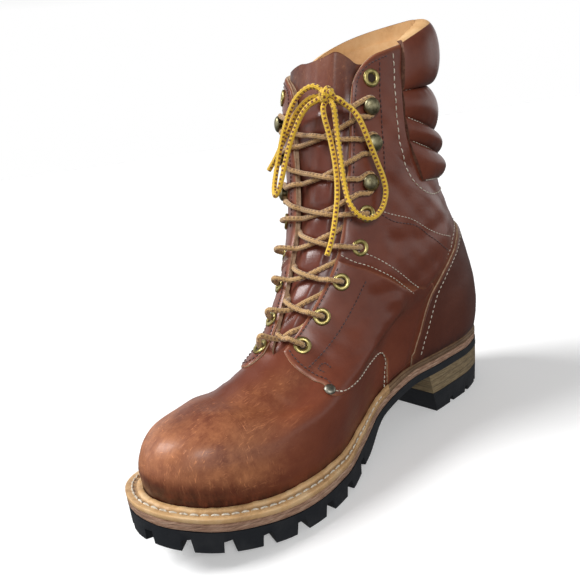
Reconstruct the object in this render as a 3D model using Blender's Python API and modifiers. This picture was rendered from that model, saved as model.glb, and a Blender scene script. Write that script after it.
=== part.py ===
"""Logger boot: a right boot, standing on its sole, as separate solids in metres with +Z up.

The toe points towards -Y and the medial side is +X. The origin is on the floor, under the heel's flat tread.
The upper is a loft of rings round the last. A place on it is given by two shares: "round", from the back centre
(0) past the medial side to the front (0.5) and back past the lateral side (1), and "up", from the welt (0) to
the collar (1).
"""
from math import cos, pi, sin

import bpy
import bmesh
import numpy as np
from mathutils import Matrix, Vector

# Driving dimensions of the sole
LENGTH = 0.330
BALL_WIDTH = 0.118
HEEL_BACK = 0.058
HEEL_HEIGHT = 0.039
RUBBER = 0.013
BASE = 0.0055
TOE_SPRING = 0.021
LIFT = 0.0165
LIFT_TAPER = 0.0025
BREAST_SHARE = 0.29
BREAST_SLANT = 0.006
MIDSOLE = 0.0045
WELT = 0.0035
STORM_RIDGE = 0.0022
STORM_WIDTH = 0.0040
RIDGE_CLEAR = 0.0014
WELT_END = 0.23
INSOLE = 0.004
LUG_PITCH = 0.0225
LUG_GAP = 0.0055
LUG_REACH = 0.024
LUG_FLARE = 0.0022
RIB_WIDTH = 0.005
HEEL_NOTCH = 0.0045

# Driving dimensions of the upper
UPPER_HEIGHT = 0.2375
UPPER_WALL = 0.0024
QUARTER = 0.0016
SHAFT = 0.0023
COUNTER = 0.0022
TONGUE = 0.0026
TONGUE_TUCK = 0.045
GAP = 0.0003
LAY = 0.0007
HOLLOW_ROOM = 1.5
CURVE_ROOM = 1.6
FITTING_ROOM = 0.0008
SHAFT_ROOM = 0.0003
SEAM_ROOM = 0.014
SEAT_GAP = 0.0008
INSOLE_ROOM = 0.0018
PAD_TOP = 0.0125
PAD_ROLL = 0.0075

# Driving dimensions of the fittings
EYELET_OUTER = 0.0060
EYELET_HOLE = 0.0026
EYELET_TUBE = 0.0006
EYELET_THICK = 0.0012
HOOK_BASE = 0.0042
HOOK_NECK = 0.0022
HOOK_CAP = 0.0058
HOOK_HEIGHT = 0.0062
RIVET_RADIUS = 0.0038
RIVET_HEIGHT = 0.0014
LACE = 0.0036
LACE_REST = 0.0008
HOOK_ROOM = 0.024
EDGE_ROOM = 0.016
HOOK_SPREAD = 0.011

# Plan of the sole: share of length from the heel's back, medial and lateral shares of the ball's width
OUTLINE = (
    (0.000, 0.000, 0.000), (0.004, 0.085, 0.070), (0.014, 0.163, 0.135), (0.036, 0.252, 0.212),
    (0.080, 0.322, 0.282), (0.150, 0.355, 0.325), (0.240, 0.350, 0.345), (0.350, 0.318, 0.360),
    (0.450, 0.304, 0.390), (0.545, 0.367, 0.448), (0.640, 0.452, 0.505), (0.716, 0.478, 0.522),
    (0.792, 0.456, 0.503), (0.867, 0.403, 0.442), (0.924, 0.340, 0.362), (0.964, 0.254, 0.255),
    (0.986, 0.172, 0.146), (0.996, 0.100, 0.060), (1.000, 0.050, 0.000),
)

# Rings of the upper, from the welt to the collar, each a row of shares:
# front and back as shares of the length from the heel's back, their heights as shares of the upper's height,
# medial and lateral half widths, how far the ring keeps the sole's plan and how much wider it is than that,
# how pointed its front is, and the ridge's shift and the flanks' droop as shares of the ball's width
RINGS = (
    # front, front up, back, back up, medial, lateral, plan, bulge, point, ridge, droop
    (0.967, 0.000, 0.011, 0.000, 0.398, 0.424, 1.00, 1.03, 2.20, 0.000, 0.000),
    (0.971, 0.052, 0.000, 0.055, 0.411, 0.441, 1.00, 1.06, 2.20, 0.008, 0.021),
    (0.962, 0.101, -0.006, 0.113, 0.415, 0.437, 0.95, 1.07, 2.00, 0.017, 0.055),
    (0.938, 0.152, -0.006, 0.172, 0.415, 0.424, 0.86, 1.05, 1.80, 0.025, 0.097),
    (0.888, 0.195, -0.002, 0.227, 0.407, 0.407, 0.68, 1.01, 1.60, 0.034, 0.136),
    (0.814, 0.228, 0.008, 0.281, 0.398, 0.390, 0.44, 0.98, 1.45, 0.034, 0.144),
    (0.738, 0.255, 0.020, 0.336, 0.386, 0.377, 0.25, 0.96, 1.50, 0.030, 0.127),
    (0.668, 0.302, 0.036, 0.394, 0.369, 0.369, 0.11, 0.96, 1.60, 0.013, 0.085),
    (0.602, 0.379, 0.059, 0.458, 0.347, 0.362, 0.02, 0.95, 1.90, 0.004, 0.042),
    (0.539, 0.468, 0.083, 0.528, 0.326, 0.364, 0.00, 0.95, 2.20, 0.000, 0.013),
    (0.492, 0.567, 0.100, 0.608, 0.311, 0.381, 0.00, 0.95, 2.40, -0.008, 0.000),
    (0.467, 0.665, 0.109, 0.697, 0.303, 0.405, 0.00, 0.95, 2.50, -0.017, 0.000),
    (0.448, 0.763, 0.115, 0.794, 0.295, 0.424, 0.00, 0.95, 2.60, -0.025, 0.000),
    (0.433, 0.854, 0.120, 0.895, 0.290, 0.431, 0.00, 0.95, 2.70, -0.025, 0.000),
    (0.411, 0.940, 0.123, 1.000, 0.288, 0.422, 0.00, 0.95, 2.70, -0.025, 0.000),
)
BACK_POINT = 2.4

# Throat: share up, and the medial and lateral facing edges as shares round
THROAT = (
    (0.488, 0.4585, 0.4585), (0.500, 0.446, 0.470), (0.525, 0.433, 0.486), (0.560, 0.426, 0.505),
    (0.600, 0.417, 0.520), (0.650, 0.409, 0.530), (0.720, 0.408, 0.531), (0.800, 0.403, 0.534),
    (0.880, 0.398, 0.536), (1.000, 0.395, 0.537),
)
THROAT_BASE = 0.488
COUNTER_FOOT = 0.020
COLUMNS = 44
CORNER_ROUND = 0.075
CORNER_DROP = 0.055

# Fittings of the medial facing: share up, share round; the lateral ones stand as far from their own edge
EYELETS = ((0.500, 0.410), (0.553, 0.399), (0.606, 0.385), (0.652, 0.362), (0.704, 0.357), (0.955, 0.345))
HOOKS = ((0.759, 0.354), (0.829, 0.344), (0.900, 0.349))
RIVET = (0.330, 0.330)

# Edges of the overlays on the medial side as pairs of share round and share up
QUARTER_FRONT = ((0.438, 0.492), (0.409, 0.457), (0.374, 0.418), (0.346, 0.372), (0.320, 0.295),
                 (0.300, 0.258), (0.268, 0.235), (0.238, 0.178), (0.229, 0.100), (0.228, 0.020))
QUARTER_TOP = ((0.408, 0.640), (0.372, 0.622), (0.337, 0.600), (0.307, 0.572), (0.270, 0.520),
               (0.240, 0.455), (0.215, 0.380), (0.200, 0.300), (0.198, 0.180), (0.206, 0.020))
COUNTER_EDGE = ((0.000, 0.492), (0.050, 0.490), (0.100, 0.478), (0.140, 0.432), (0.166, 0.380),
                (0.180, 0.300), (0.187, 0.200), (0.194, 0.100), (0.200, 0.020))

# Rolls of the padded collar, from the lowest: share up at the back and at its front end, and that end's round
ROLLS = ((0.653, 0.706, 0.205), (0.703, 0.806, 0.244), (0.765, 0.856, 0.248), (0.890, 0.908, 0.250))
ROLL_PEAK = 0.962
ROLL_OVER = 1.032

# Routes of the free lace from the knot, in metres
KNOT = (0.0185, -0.0915, 0.2485)
KNOT_SIZE = (0.0066, 0.0050, 0.0056)
LOOP_MEDIAL = (
    (0.0262, -0.0893, 0.2445), (0.0285, -0.0860, 0.2405), (0.0319, -0.0829, 0.2360), (0.0355, -0.0815, 0.2290),
    (0.0378, -0.0800, 0.2200), (0.0388, -0.0770, 0.2105), (0.0393, -0.0735, 0.2010), (0.0404, -0.0707, 0.1915),
    (0.0418, -0.0712, 0.1815), (0.0424, -0.0775, 0.1720), (0.0416, -0.0867, 0.1675), (0.0384, -0.0950, 0.1700),
    (0.0340, -0.0988, 0.1785), (0.0298, -0.0972, 0.1890), (0.0276, -0.0956, 0.2000), (0.0258, -0.0940, 0.2110),
    (0.0246, -0.0930, 0.2220), (0.0240, -0.0924, 0.2320), (0.0240, -0.0928, 0.2405),
)
END_MEDIAL = (
    (0.0166, -0.0948, 0.2410), (0.0178, -0.0958, 0.2340), (0.0192, -0.0952, 0.2250), (0.0206, -0.0952, 0.2160),
    (0.0222, -0.0960, 0.2060), (0.0236, -0.0975, 0.1960), (0.0250, -0.1005, 0.1850), (0.0258, -0.1045, 0.1750),
    (0.0264, -0.1090, 0.1650), (0.0268, -0.1140, 0.1560), (0.0268, -0.1190, 0.1490),
)
LOOP_LATERAL = (
    (0.0122, -0.0940, 0.2545), (0.0080, -0.0957, 0.2554), (0.0020, -0.0970, 0.2535), (-0.0040, -0.0985, 0.2495),
    (-0.0095, -0.1005, 0.2420), (-0.0135, -0.1030, 0.2325), (-0.0165, -0.1055, 0.2225), (-0.0185, -0.1085, 0.2120),
    (-0.0195, -0.1120, 0.2020), (-0.0185, -0.1160, 0.1935), (-0.0145, -0.1195, 0.1890), (-0.0105, -0.1190, 0.1925),
    (-0.0085, -0.1160, 0.2010), (-0.0075, -0.1120, 0.2105), (-0.0060, -0.1080, 0.2200), (-0.0030, -0.1045, 0.2290),
    (0.0015, -0.1015, 0.2375), (0.0065, -0.0992, 0.2430), (0.0110, -0.0972, 0.2455),
)
END_LATERAL = (
    (0.0118, -0.0905, 0.2484), (0.0075, -0.0916, 0.2490), (0.0020, -0.0931, 0.2480), (-0.0050, -0.0952, 0.2435),
    (-0.0115, -0.0968, 0.2365), (-0.0170, -0.0985, 0.2285), (-0.0222, -0.1005, 0.2205), (-0.0280, -0.1025, 0.2125),
    (-0.0345, -0.1045, 0.2050),
)


def smooth(start, end, x):
    """Eases from 0 to 1 between two places."""
    t = np.clip((np.asarray(x, float) - start) / (end - start), 0, 1)
    return t * t * (3 - 2 * t)


def through(xs, ys, x):
    """A monotone curve through points, with no overshoot between them."""
    xs, ys = np.asarray(xs, float), np.asarray(ys, float)
    step, rise = np.diff(xs), np.diff(ys) / np.diff(xs)
    lean = np.zeros(len(xs))
    lean[0], lean[-1] = rise[0], rise[-1]
    for i in range(1, len(xs) - 1):
        if rise[i - 1] * rise[i] > 0:
            before, after = 2 * step[i] + step[i - 1], step[i] + 2 * step[i - 1]
            lean[i] = (before + after) / (before / rise[i - 1] + after / rise[i])
    x = np.clip(np.asarray(x, float), xs[0], xs[-1])
    i = np.clip(np.searchsorted(xs, x) - 1, 0, len(xs) - 2)
    h = step[i]
    t = (x - xs[i]) / h
    return ((1 + 2 * t) * (1 - t) ** 2 * ys[i] + t * (1 - t) ** 2 * h * lean[i]
            + t * t * (3 - 2 * t) * ys[i + 1] + t * t * (t - 1) * h * lean[i + 1])


def column(table, number, x):
    """One column of a table against its first column."""
    return through([row[0] for row in table], [row[number] for row in table], x)


def share_along(y):
    """Share of the length from the heel's back."""
    return (HEEL_BACK - np.asarray(y, float)) / LENGTH


def y_at(share):
    """Place along the boot of a share of the length."""
    return HEEL_BACK - np.asarray(share, float) * LENGTH


def seat(y):
    """Height of the rubber's top face: low at the ball, sprung at the toe, raised over the arch to the heel."""
    s = share_along(y)
    spring = TOE_SPRING * np.clip((s - 0.754) / 0.246, 0, 1) ** 1.7
    return RUBBER + spring + (HEEL_HEIGHT - RUBBER) * smooth(0.640, 0.305, s)


def rubber_depth(y):
    """Thickness of the rubber under its top face: full at the lugs and thin from the arch back."""
    return BASE + (RUBBER - BASE) * smooth(0.440, 0.530, share_along(y))


def feather(y):
    """Height where the upper meets the welt."""
    return seat(y) + GAP + MIDSOLE + SEAT_GAP + WELT + GAP


def ring_value(up, number):
    """One column of the rings at a share up."""
    return through(np.linspace(0, 1, len(RINGS)), [row[number] for row in RINGS], up)


def ring(around, up):
    """Points of the last's outer face at shares round and up."""
    around, up = np.broadcast_arrays(np.asarray(around, float), np.asarray(up, float))
    front, back = y_at(ring_value(up, 0)), y_at(ring_value(up, 2))
    front_up, back_up = ring_value(up, 1) * UPPER_HEIGHT, ring_value(up, 3) * UPPER_HEIGHT
    medial = np.cos(2 * pi * (around - 0.25)) >= 0
    half = np.where(medial, ring_value(up, 4), ring_value(up, 5)) * BALL_WIDTH
    plan, bulge = ring_value(up, 6), ring_value(up, 7)
    along = (1 - np.cos(2 * pi * around)) / 2
    point = np.where(along < 0.5, BACK_POINT, ring_value(up, 8))
    oval = (1 - np.abs(2 * along - 1) ** point).clip(0) ** (1 / point)
    edge = np.where(medial, column(OUTLINE, 1, along), column(OUTLINE, 2, along)) * BALL_WIDTH
    inset = 0.915 - 0.105 * smooth(0.32, 0.62, along)
    x = (1 - plan) * half * oval + plan * edge * inset * bulge
    x = np.where(medial, x, -x) + ring_value(up, 9) * BALL_WIDTH * smooth(0.3, 1.0, along)
    y = back + (front - back) * along
    low = feather(y) + front_up * along + back_up * (1 - along)
    level = (feather(front) + front_up) * along + (feather(back) + back_up) * (1 - along)
    blend = smooth(0.0, 0.5, up)
    flank = np.where(medial, 0.8, 1.0) * smooth(0.3, 0.7, along) * smooth(1.0, 0.82, along)
    z = (1 - blend) * low + blend * level - ring_value(up, 10) * BALL_WIDTH * flank
    return np.stack([x, y, z], -1)


def skin(around, up, out):
    """Points that lie a distance outside the last's outer face."""
    around, up, out = np.broadcast_arrays(np.asarray(around, float), np.asarray(up, float), np.asarray(out, float))
    step = 0.004
    low, high = np.clip(up - step, 0, 1), np.clip(up + step, 0, 1)
    across = ring((around + step) % 1, up) - ring((around - step) % 1, up)
    rise = ring(around, high) - ring(around, low)
    normal = np.cross(rise, across)
    normal /= np.linalg.norm(normal, axis=-1, keepdims=True)
    return ring(around % 1, np.clip(up, 0, 1)) + normal * out[..., None]


def normal_at(around, up):
    """Unit vector out of the last's face."""
    away = skin(around, up, 0.001) - skin(around, up, 0.0)
    return Vector(away).normalized()


def medial_edge(up):
    return column(THROAT, 1, up)


def lateral_edge(up):
    return column(THROAT, 2, up)


def mirrored(around, up):
    """The lateral share round that stands as far from its facing, or from the toe, as a medial one."""
    around, up = np.asarray(around, float), np.asarray(up, float)
    level = np.maximum(up, THROAT_BASE + 0.07)
    gap = medial_edge(level) - around
    by_facing = lateral_edge(level) + gap * (1 - lateral_edge(level)) / medial_edge(level)
    low = smooth(0.50, 0.38, up) * smooth(0.0, 0.08, gap)
    return by_facing + (1 - around - by_facing) * low


def material(name, colour, roughness, metallic=0.0):
    made = bpy.data.materials.new(name)
    made.use_nodes = True
    shader = made.node_tree.nodes["Principled BSDF"]
    shader.inputs["Base Color"].default_value = (*colour, 1)
    shader.inputs["Roughness"].default_value = roughness
    shader.inputs["Metallic"].default_value = metallic
    return made


def solid(name, corners, faces, paint, group):
    """One named object from corners and faces, with its faces turned outwards."""
    mesh = bpy.data.meshes.new(name)
    mesh.from_pydata([tuple(map(float, c)) for c in corners], [], faces)
    shape = bmesh.new()
    shape.from_mesh(mesh)
    bmesh.ops.remove_doubles(shape, verts=shape.verts, dist=1e-6)
    bmesh.ops.recalc_face_normals(shape, faces=shape.faces)
    shape.to_mesh(mesh)
    shape.free()
    mesh.shade_smooth()
    mesh.set_sharp_from_angle(angle=0.7)
    made = bpy.data.objects.new(name, mesh)
    made.data.materials.append(paint)
    group.objects.link(made)
    return made


def slab(name, outer, inner, paint, group, closed=False):
    """A solid between two grids of points, open or closed along the first direction of the grid."""
    outer, inner = np.asarray(outer), np.asarray(inner)
    wide, tall = outer.shape[:2]
    corners = np.concatenate([outer.reshape(-1, 3), inner.reshape(-1, 3)])
    back = wide * tall
    faces = []

    def at(i, j, side=0):
        return side * back + (i % wide) * tall + j

    last = wide if closed else wide - 1
    for i in range(last):
        for j in range(tall - 1):
            faces.append((at(i, j), at(i + 1, j), at(i + 1, j + 1), at(i, j + 1)))
            faces.append((at(i, j, 1), at(i, j + 1, 1), at(i + 1, j + 1, 1), at(i + 1, j, 1)))
        for j in (0, tall - 1):
            faces.append((at(i, j), at(i, j, 1), at(i + 1, j, 1), at(i + 1, j)))
    if not closed:
        for i in (0, wide - 1):
            for j in range(tall - 1):
                faces.append((at(i, j), at(i, j + 1), at(i, j + 1, 1), at(i, j, 1)))
    return solid(name, corners, faces, paint, group)


def plate(name, loop, top, bottom, paint, group):
    """A plate from a plan loop of x and y, between two heights given for each corner."""
    count = len(loop)
    corners = [(x, y, z) for (x, y), z in zip(loop, top)] + [(x, y, z) for (x, y), z in zip(loop, bottom)]
    faces = [(i, (i + 1) % count, count + (i + 1) % count, count + i) for i in range(count)]
    for side in (0, count):
        for i in range((count - 1) // 2):
            j, k = count - 1 - i, count - 2 - i
            face = (i, j, k) if k == i + 1 else (i, j, k, i + 1)
            faces.append(tuple(side + corner for corner in face))
    return solid(name, corners, faces, paint, group)


def stations(end):
    """Shares of the length where the sole's plan has corners: close at heel and toe and even between them."""
    heel = [0.0, 0.002, 0.007, 0.015, 0.028, 0.046, 0.070]
    even = np.arange(0.10, 0.915, 0.0325)
    toe = [0.935, 0.956, 0.973, 0.986, 0.994, 0.9985, 1.0]
    shares = np.concatenate([heel, even, toe])
    return np.concatenate([shares[shares < end - 0.004], [end]])


def plan_loop(end=1.0, inset=0.0):
    """The sole's plan from the heel's back to a share of the length, medial side first."""
    shares = stations(end)
    medial = np.stack([column(OUTLINE, 1, shares) * BALL_WIDTH, y_at(shares)], 1)
    lateral = np.stack([-column(OUTLINE, 2, shares) * BALL_WIDTH, y_at(shares)], 1)
    loop = np.concatenate([medial, lateral[::-1]])
    if inset:
        loop = inset_loop(loop, inset)
    keep = [0]
    for i in range(1, len(loop)):
        if np.hypot(*(loop[i] - loop[keep[-1]])) > 0.0008:
            keep.append(i)
    if np.hypot(*(loop[keep[-1]] - loop[0])) < 0.0008:
        keep.pop()
    return loop[keep]


def inset_loop(loop, inset):
    """Moves a closed plan loop inwards."""
    ahead, behind = np.roll(loop, -1, 0), np.roll(loop, 1, 0)
    first, second = loop - behind, ahead - loop
    first /= np.maximum(np.linalg.norm(first, axis=1, keepdims=True), 1e-9)
    second /= np.maximum(np.linalg.norm(second, axis=1, keepdims=True), 1e-9)
    along = first + second
    along /= np.maximum(np.linalg.norm(along, axis=1, keepdims=True), 1e-9)
    out = np.stack([along[:, 1], -along[:, 0]], 1)
    centre = loop.mean(0)
    if ((loop - centre) * out).sum() < 0:
        out = -out
    return loop - out * inset


def cut(target, cutter, how="DIFFERENCE"):
    change = target.modifiers.new(how.title(), "BOOLEAN")
    change.operation = how
    change.solver = "EXACT"
    change.object = cutter
    cutter.hide_render = True
    cutter.display_type = "WIRE"
    return change


def plan_walk(loop, pitch):
    """Points and outward directions at even steps along an open plan line."""
    steps = np.hypot(*np.diff(loop, axis=0).T)
    far = np.concatenate([[0], np.cumsum(steps)])
    count = max(int(round(far[-1] / pitch)), 2)
    for k in range(count + 1):
        here = far[-1] * k / count
        i = min(int(np.searchsorted(far, here, side="right")) - 1, len(steps) - 1)
        t = (here - far[i]) / steps[i]
        a, b = loop[i], loop[i + 1]
        spot = a + (b - a) * t
        along = (b - a) / steps[i]
        yield k, count, spot, np.array([-along[1], along[0]])


def wedge(spot, out, near, far, low_half, high_half, low, high):
    """Corners and faces of a tapered channel cutter across the sole's edge."""
    along = np.array([-out[1], out[0]])
    corners = []
    for z, half in ((low, low_half), (high, high_half)):
        for reach, side in ((far, -1), (far, 1), (-near, 1), (-near, -1)):
            p = spot + out * reach + along * side * half
            corners.append((p[0], p[1], z))
    faces = [(0, 1, 2, 3), (7, 6, 5, 4), (0, 4, 5, 1), (1, 5, 6, 2), (2, 6, 7, 3), (3, 7, 4, 0)]
    return corners, faces


def make_outsole(paint, group, cutters):
    """The rubber: a base over the whole length, with lugs left between channels under the forefoot."""
    loop = plan_loop()
    top = seat(loop[:, 1])
    bottom = top - rubber_depth(loop[:, 1])
    bottom = np.where(share_along(loop[:, 1]) > 0.53, np.maximum(bottom, 0), bottom)
    made = plate("outsole", loop, top, bottom, paint, group)
    corners, faces = [], []

    def add(piece):
        first = len(corners)
        corners.extend(piece[0])
        faces.extend(tuple(first + i for i in face) for face in piece[1])

    shares = np.concatenate([np.linspace(0.50, 0.93, 24), [0.95, 0.97, 0.985, 0.995, 1.0]])
    medial = np.stack([column(OUTLINE, 1, shares) * BALL_WIDTH, y_at(shares)], 1)
    lateral = np.stack([-column(OUTLINE, 2, shares) * BALL_WIDTH, y_at(shares)], 1)
    edge = np.concatenate([medial, lateral[::-1]])
    for k, count, spot, out in plan_walk(edge, LUG_PITCH):
        if k in (0, count):
            continue
        root = float(seat(spot[1])) - BASE
        inward = out if (spot + out * 0.01 - np.array([0, spot[1] + 0.02])) @ out < 0 else -out
        reach = LUG_REACH if share_along(spot[1]) < 0.93 else LUG_REACH * 0.8
        add(wedge(spot, inward, 0.008, reach, LUG_GAP / 2 + LUG_FLARE, LUG_GAP / 2, -0.002, root))
    tread = join_cutter("lug_channels", corners, faces, cutters)
    cut(made, tread)
    corners, faces = [], []
    middle = np.linspace(0.545, 0.90, 7)
    for a, b in zip(middle[:-1], middle[1:]):
        s = (a + b) / 2
        y = float(y_at(s))
        root = float(seat(y)) - BASE
        half = (float(column(OUTLINE, 1, s)) + float(column(OUTLINE, 2, s))) / 2 * BALL_WIDTH - LUG_REACH - RIB_WIDTH
        mid = (float(column(OUTLINE, 1, s)) - float(column(OUTLINE, 2, s))) / 2 * BALL_WIDTH
        if half > RIB_WIDTH:
            spot = np.array([mid + half, y])
            add(wedge(spot, np.array([-1.0, 0.0]), 0, 2 * half, LUG_GAP / 2 + LUG_FLARE, LUG_GAP / 2, -0.002, root))
    bars = join_cutter("tread_channels", corners, faces, cutters)
    cut(made, bars)
    return made


def join_cutter(name, corners, faces, cutters):
    """A hidden object that cuts."""
    mesh = bpy.data.meshes.new(name)
    mesh.from_pydata([tuple(map(float, c)) for c in corners], [], faces)
    shape = bmesh.new()
    shape.from_mesh(mesh)
    bmesh.ops.recalc_face_normals(shape, faces=shape.faces)
    shape.to_mesh(mesh)
    shape.free()
    made = bpy.data.objects.new(name, mesh)
    cutters.objects.link(made)
    made.hide_render = True
    made.display_type = "WIRE"
    return made


def heel_loop(inset, slant):
    """Plan of the heel block, its breast moved back by a slant."""
    return plan_loop(BREAST_SHARE - slant / LENGTH, inset)


def make_heel(rubber, leather, group, cutters):
    """Rubber top lift on the floor, with notches, and the leather stack above it."""
    low, high = heel_loop(LIFT_TAPER, BREAST_SLANT), heel_loop(LIFT_TAPER / 2, BREAST_SLANT / 2)
    lift = slab_between("heel_lift", low, high, 0.0, LIFT, rubber, group)
    underside = HEEL_HEIGHT - BASE - GAP
    base, roof = heel_loop(LIFT_TAPER / 2, BREAST_SLANT / 2), heel_loop(0.0004, 0.0)
    slab_between("heel_stack", base, roof, LIFT + GAP, underside, leather, group)
    corners, faces = [], []
    edge = heel_loop(0.0, BREAST_SLANT)
    half = len(edge) // 2
    path = np.concatenate([edge[half:], edge[:half]])
    start = int(np.argmax(np.hypot(*np.diff(path, axis=0).T)))
    path = np.roll(path, -start - 1, axis=0)
    for k, count, spot, out in plan_walk(path, LUG_PITCH):
        if k in (0, count):
            continue
        inward = out if (np.array([0, 0.012]) - spot) @ out > 0 else -out
        first = len(corners)
        piece = wedge(spot, inward, 0.006, LUG_REACH * 0.42, LUG_GAP / 2, LUG_GAP / 2 - 0.0008, -0.002, HEEL_NOTCH)
        corners.extend(piece[0])
        faces.extend(tuple(first + i for i in face) for face in piece[1])
    cut(lift, join_cutter("heel_notches", corners, faces, cutters))


def slab_between(name, low_loop, high_loop, low, high, paint, group):
    """A block between two plan loops at two heights."""
    count = min(len(low_loop), len(high_loop))
    low_loop, high_loop = resample(low_loop, count), resample(high_loop, count)
    corners = [(x, y, high) for x, y in high_loop] + [(x, y, low) for x, y in low_loop]
    faces = [(i, (i + 1) % count, count + (i + 1) % count, count + i) for i in range(count)]
    faces += [tuple(range(count)), tuple(range(2 * count - 1, count - 1, -1))]
    return solid(name, corners, faces, paint, group)


def resample(loop, count):
    """Keeps a number of corners of a loop, evenly by their order."""
    picks = np.linspace(0, len(loop) - 1, count).round().astype(int)
    return loop[picks]


def foot_rounds():
    """Shares round of the corners along the upper's lower edge, which welt, rand and insole share."""
    return (float(medial_edge(THROAT_BASE)) + np.arange(COLUMNS) / COLUMNS) % 1


def make_welt(tan, brown, group):
    """The welt round the forefoot with its raised inner ridge, and the rand that closes the heel behind it."""
    corners = np.sort(foot_rounds())
    ahead = corners[(corners > WELT_END) & (corners < 1 - WELT_END)]
    welt_rounds = np.concatenate([[WELT_END], ahead, [1 - WELT_END]])
    behind = np.sort(np.where(corners > 0.5, corners - 1, corners))
    close = WELT_END - 0.002
    behind = behind[(behind > -close) & (behind < close)]
    rand_rounds = np.concatenate([[-close], behind, [close]]) % 1
    for name, rounds, paint in (
        ("welt", welt_rounds, tan),
        ("heel_rand", rand_rounds, brown),
    ):
        along = (1 - np.cos(2 * pi * rounds)) / 2
        medial = np.cos(2 * pi * (rounds - 0.25)) >= 0
        x = np.where(medial, column(OUTLINE, 1, along), -column(OUTLINE, 2, along)) * BALL_WIDTH
        edge = np.stack([x, y_at(along)], -1)
        foot = skin(rounds, 0.0, 0.0)[:, :2]
        under = skin(rounds, 0.0, -UPPER_WALL)[:, :2]
        away = edge - foot
        away /= np.maximum(np.linalg.norm(away, axis=1, keepdims=True), 1e-9)
        low_base = GAP + MIDSOLE + SEAT_GAP
        high_base = low_base + WELT
        clear = RIDGE_CLEAR
        ridge_out = STORM_WIDTH if name == "welt" else STORM_WIDTH / 2
        ridge_up = STORM_RIDGE if name == "welt" else STORM_RIDGE / 2
        sections = (
            (under, high_base), (foot + away * clear, high_base), (foot + away * clear, high_base + ridge_up),
            (foot + away * ridge_out, high_base + ridge_up * 0.6), (foot + away * (ridge_out + 0.0008), high_base),
            (edge, high_base), (edge, low_base), (under, low_base),
        )
        grid = np.zeros((len(rounds), len(sections), 3))
        for j, (plan, rise) in enumerate(sections):
            grid[:, j, :2] = plan
            grid[:, j, 2] = seat(plan[:, 1]) + rise
        tube(name, grid, paint, group)


def tube(name, grid, paint, group):
    """A solid swept through closed sections, with flat ends."""
    wide, tall = grid.shape[:2]
    faces = []
    for i in range(wide - 1):
        for j in range(tall):
            k = (j + 1) % tall
            faces.append((i * tall + j, (i + 1) * tall + j, (i + 1) * tall + k, i * tall + k))
    faces.append(tuple(range(tall)))
    faces.append(tuple((wide - 1) * tall + j for j in reversed(range(tall))))
    return solid(name, grid.reshape(-1, 3), faces, paint, group)


def make_insole(paint, group):
    """The insole lies on the midsole inside the welt and the wall."""
    rounds = np.arange(COLUMNS) / COLUMNS + 0.5 / COLUMNS
    loop = skin(rounds, 0.0, -UPPER_WALL - INSOLE_ROOM)[:, :2]
    low = seat(loop[:, 1]) + GAP + MIDSOLE + SEAT_GAP
    plate("insole", loop, low + INSOLE, low, paint, group)


def corner_share(around, up):
    """Rounds the top front corners of the shaft."""
    low, high = medial_edge(1.0), lateral_edge(1.0)
    near = np.where(around < 0.5, low - around, around - high)
    bend = np.clip(1 - near / CORNER_ROUND, 0, 1)
    drop = CORNER_DROP * (1 - np.sqrt(1 - bend ** 2))
    return np.where(up > 0.85, 0.85 + (up - 0.85) * (0.15 - drop) / 0.15, up)


def make_upper(paint, group, holes):
    """The vamp and the lined leg as one wall, open at the collar, down the throat and underneath."""
    ups = np.array([0, 0.055, 0.12, 0.19, 0.26, 0.33, 0.41, THROAT_BASE, 0.515, 0.565, 0.64, 0.73,
                    0.83, 0.92, 1.0])
    outer = np.zeros((COLUMNS + 1, len(ups), 3))
    inner = np.zeros_like(outer)
    for j, up in enumerate(ups):
        start, end = float(lateral_edge(up)), float(medial_edge(up)) + 1
        rounds = (start + (end - start) * np.linspace(0, 1, COLUMNS + 1)) % 1
        height = corner_share(rounds, up)
        outer[:, j] = skin(rounds, height, 0.0)
        inner[:, j] = skin(rounds, height, -UPPER_WALL)
    closed_rows = int(np.argmin(np.abs(ups - THROAT_BASE)))
    wide, tall = outer.shape[:2]
    corners = np.concatenate([outer.reshape(-1, 3), inner.reshape(-1, 3)])
    back = wide * tall
    faces = []
    for i in range(wide - 1):
        for j in range(tall - 1):
            a, b = i * tall + j, (i + 1) * tall + j
            faces.append((a, b, b + 1, a + 1))
            faces.append((back + a, back + a + 1, back + b + 1, back + b))
        for j in (0, tall - 1):
            a, b = i * tall + j, (i + 1) * tall + j
            faces.append((a, back + a, back + b, b))
    for i in (0, wide - 1):
        for j in range(closed_rows, tall - 1):
            a = i * tall + j
            faces.append((a, a + 1, back + a + 1, back + a))
    made = solid("upper", corners, faces, paint, group)
    cut(made, holes)
    return made


def line_through(points, count):
    """Even points along a smooth line through pairs."""
    points = np.asarray(points, float)
    far = np.concatenate([[0], np.cumsum(np.hypot(*np.diff(points, axis=0).T))])
    want = np.linspace(0, far[-1], count)
    return np.stack([through(far, points[:, 0], want), through(far, points[:, 1], want)], 1)


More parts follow.
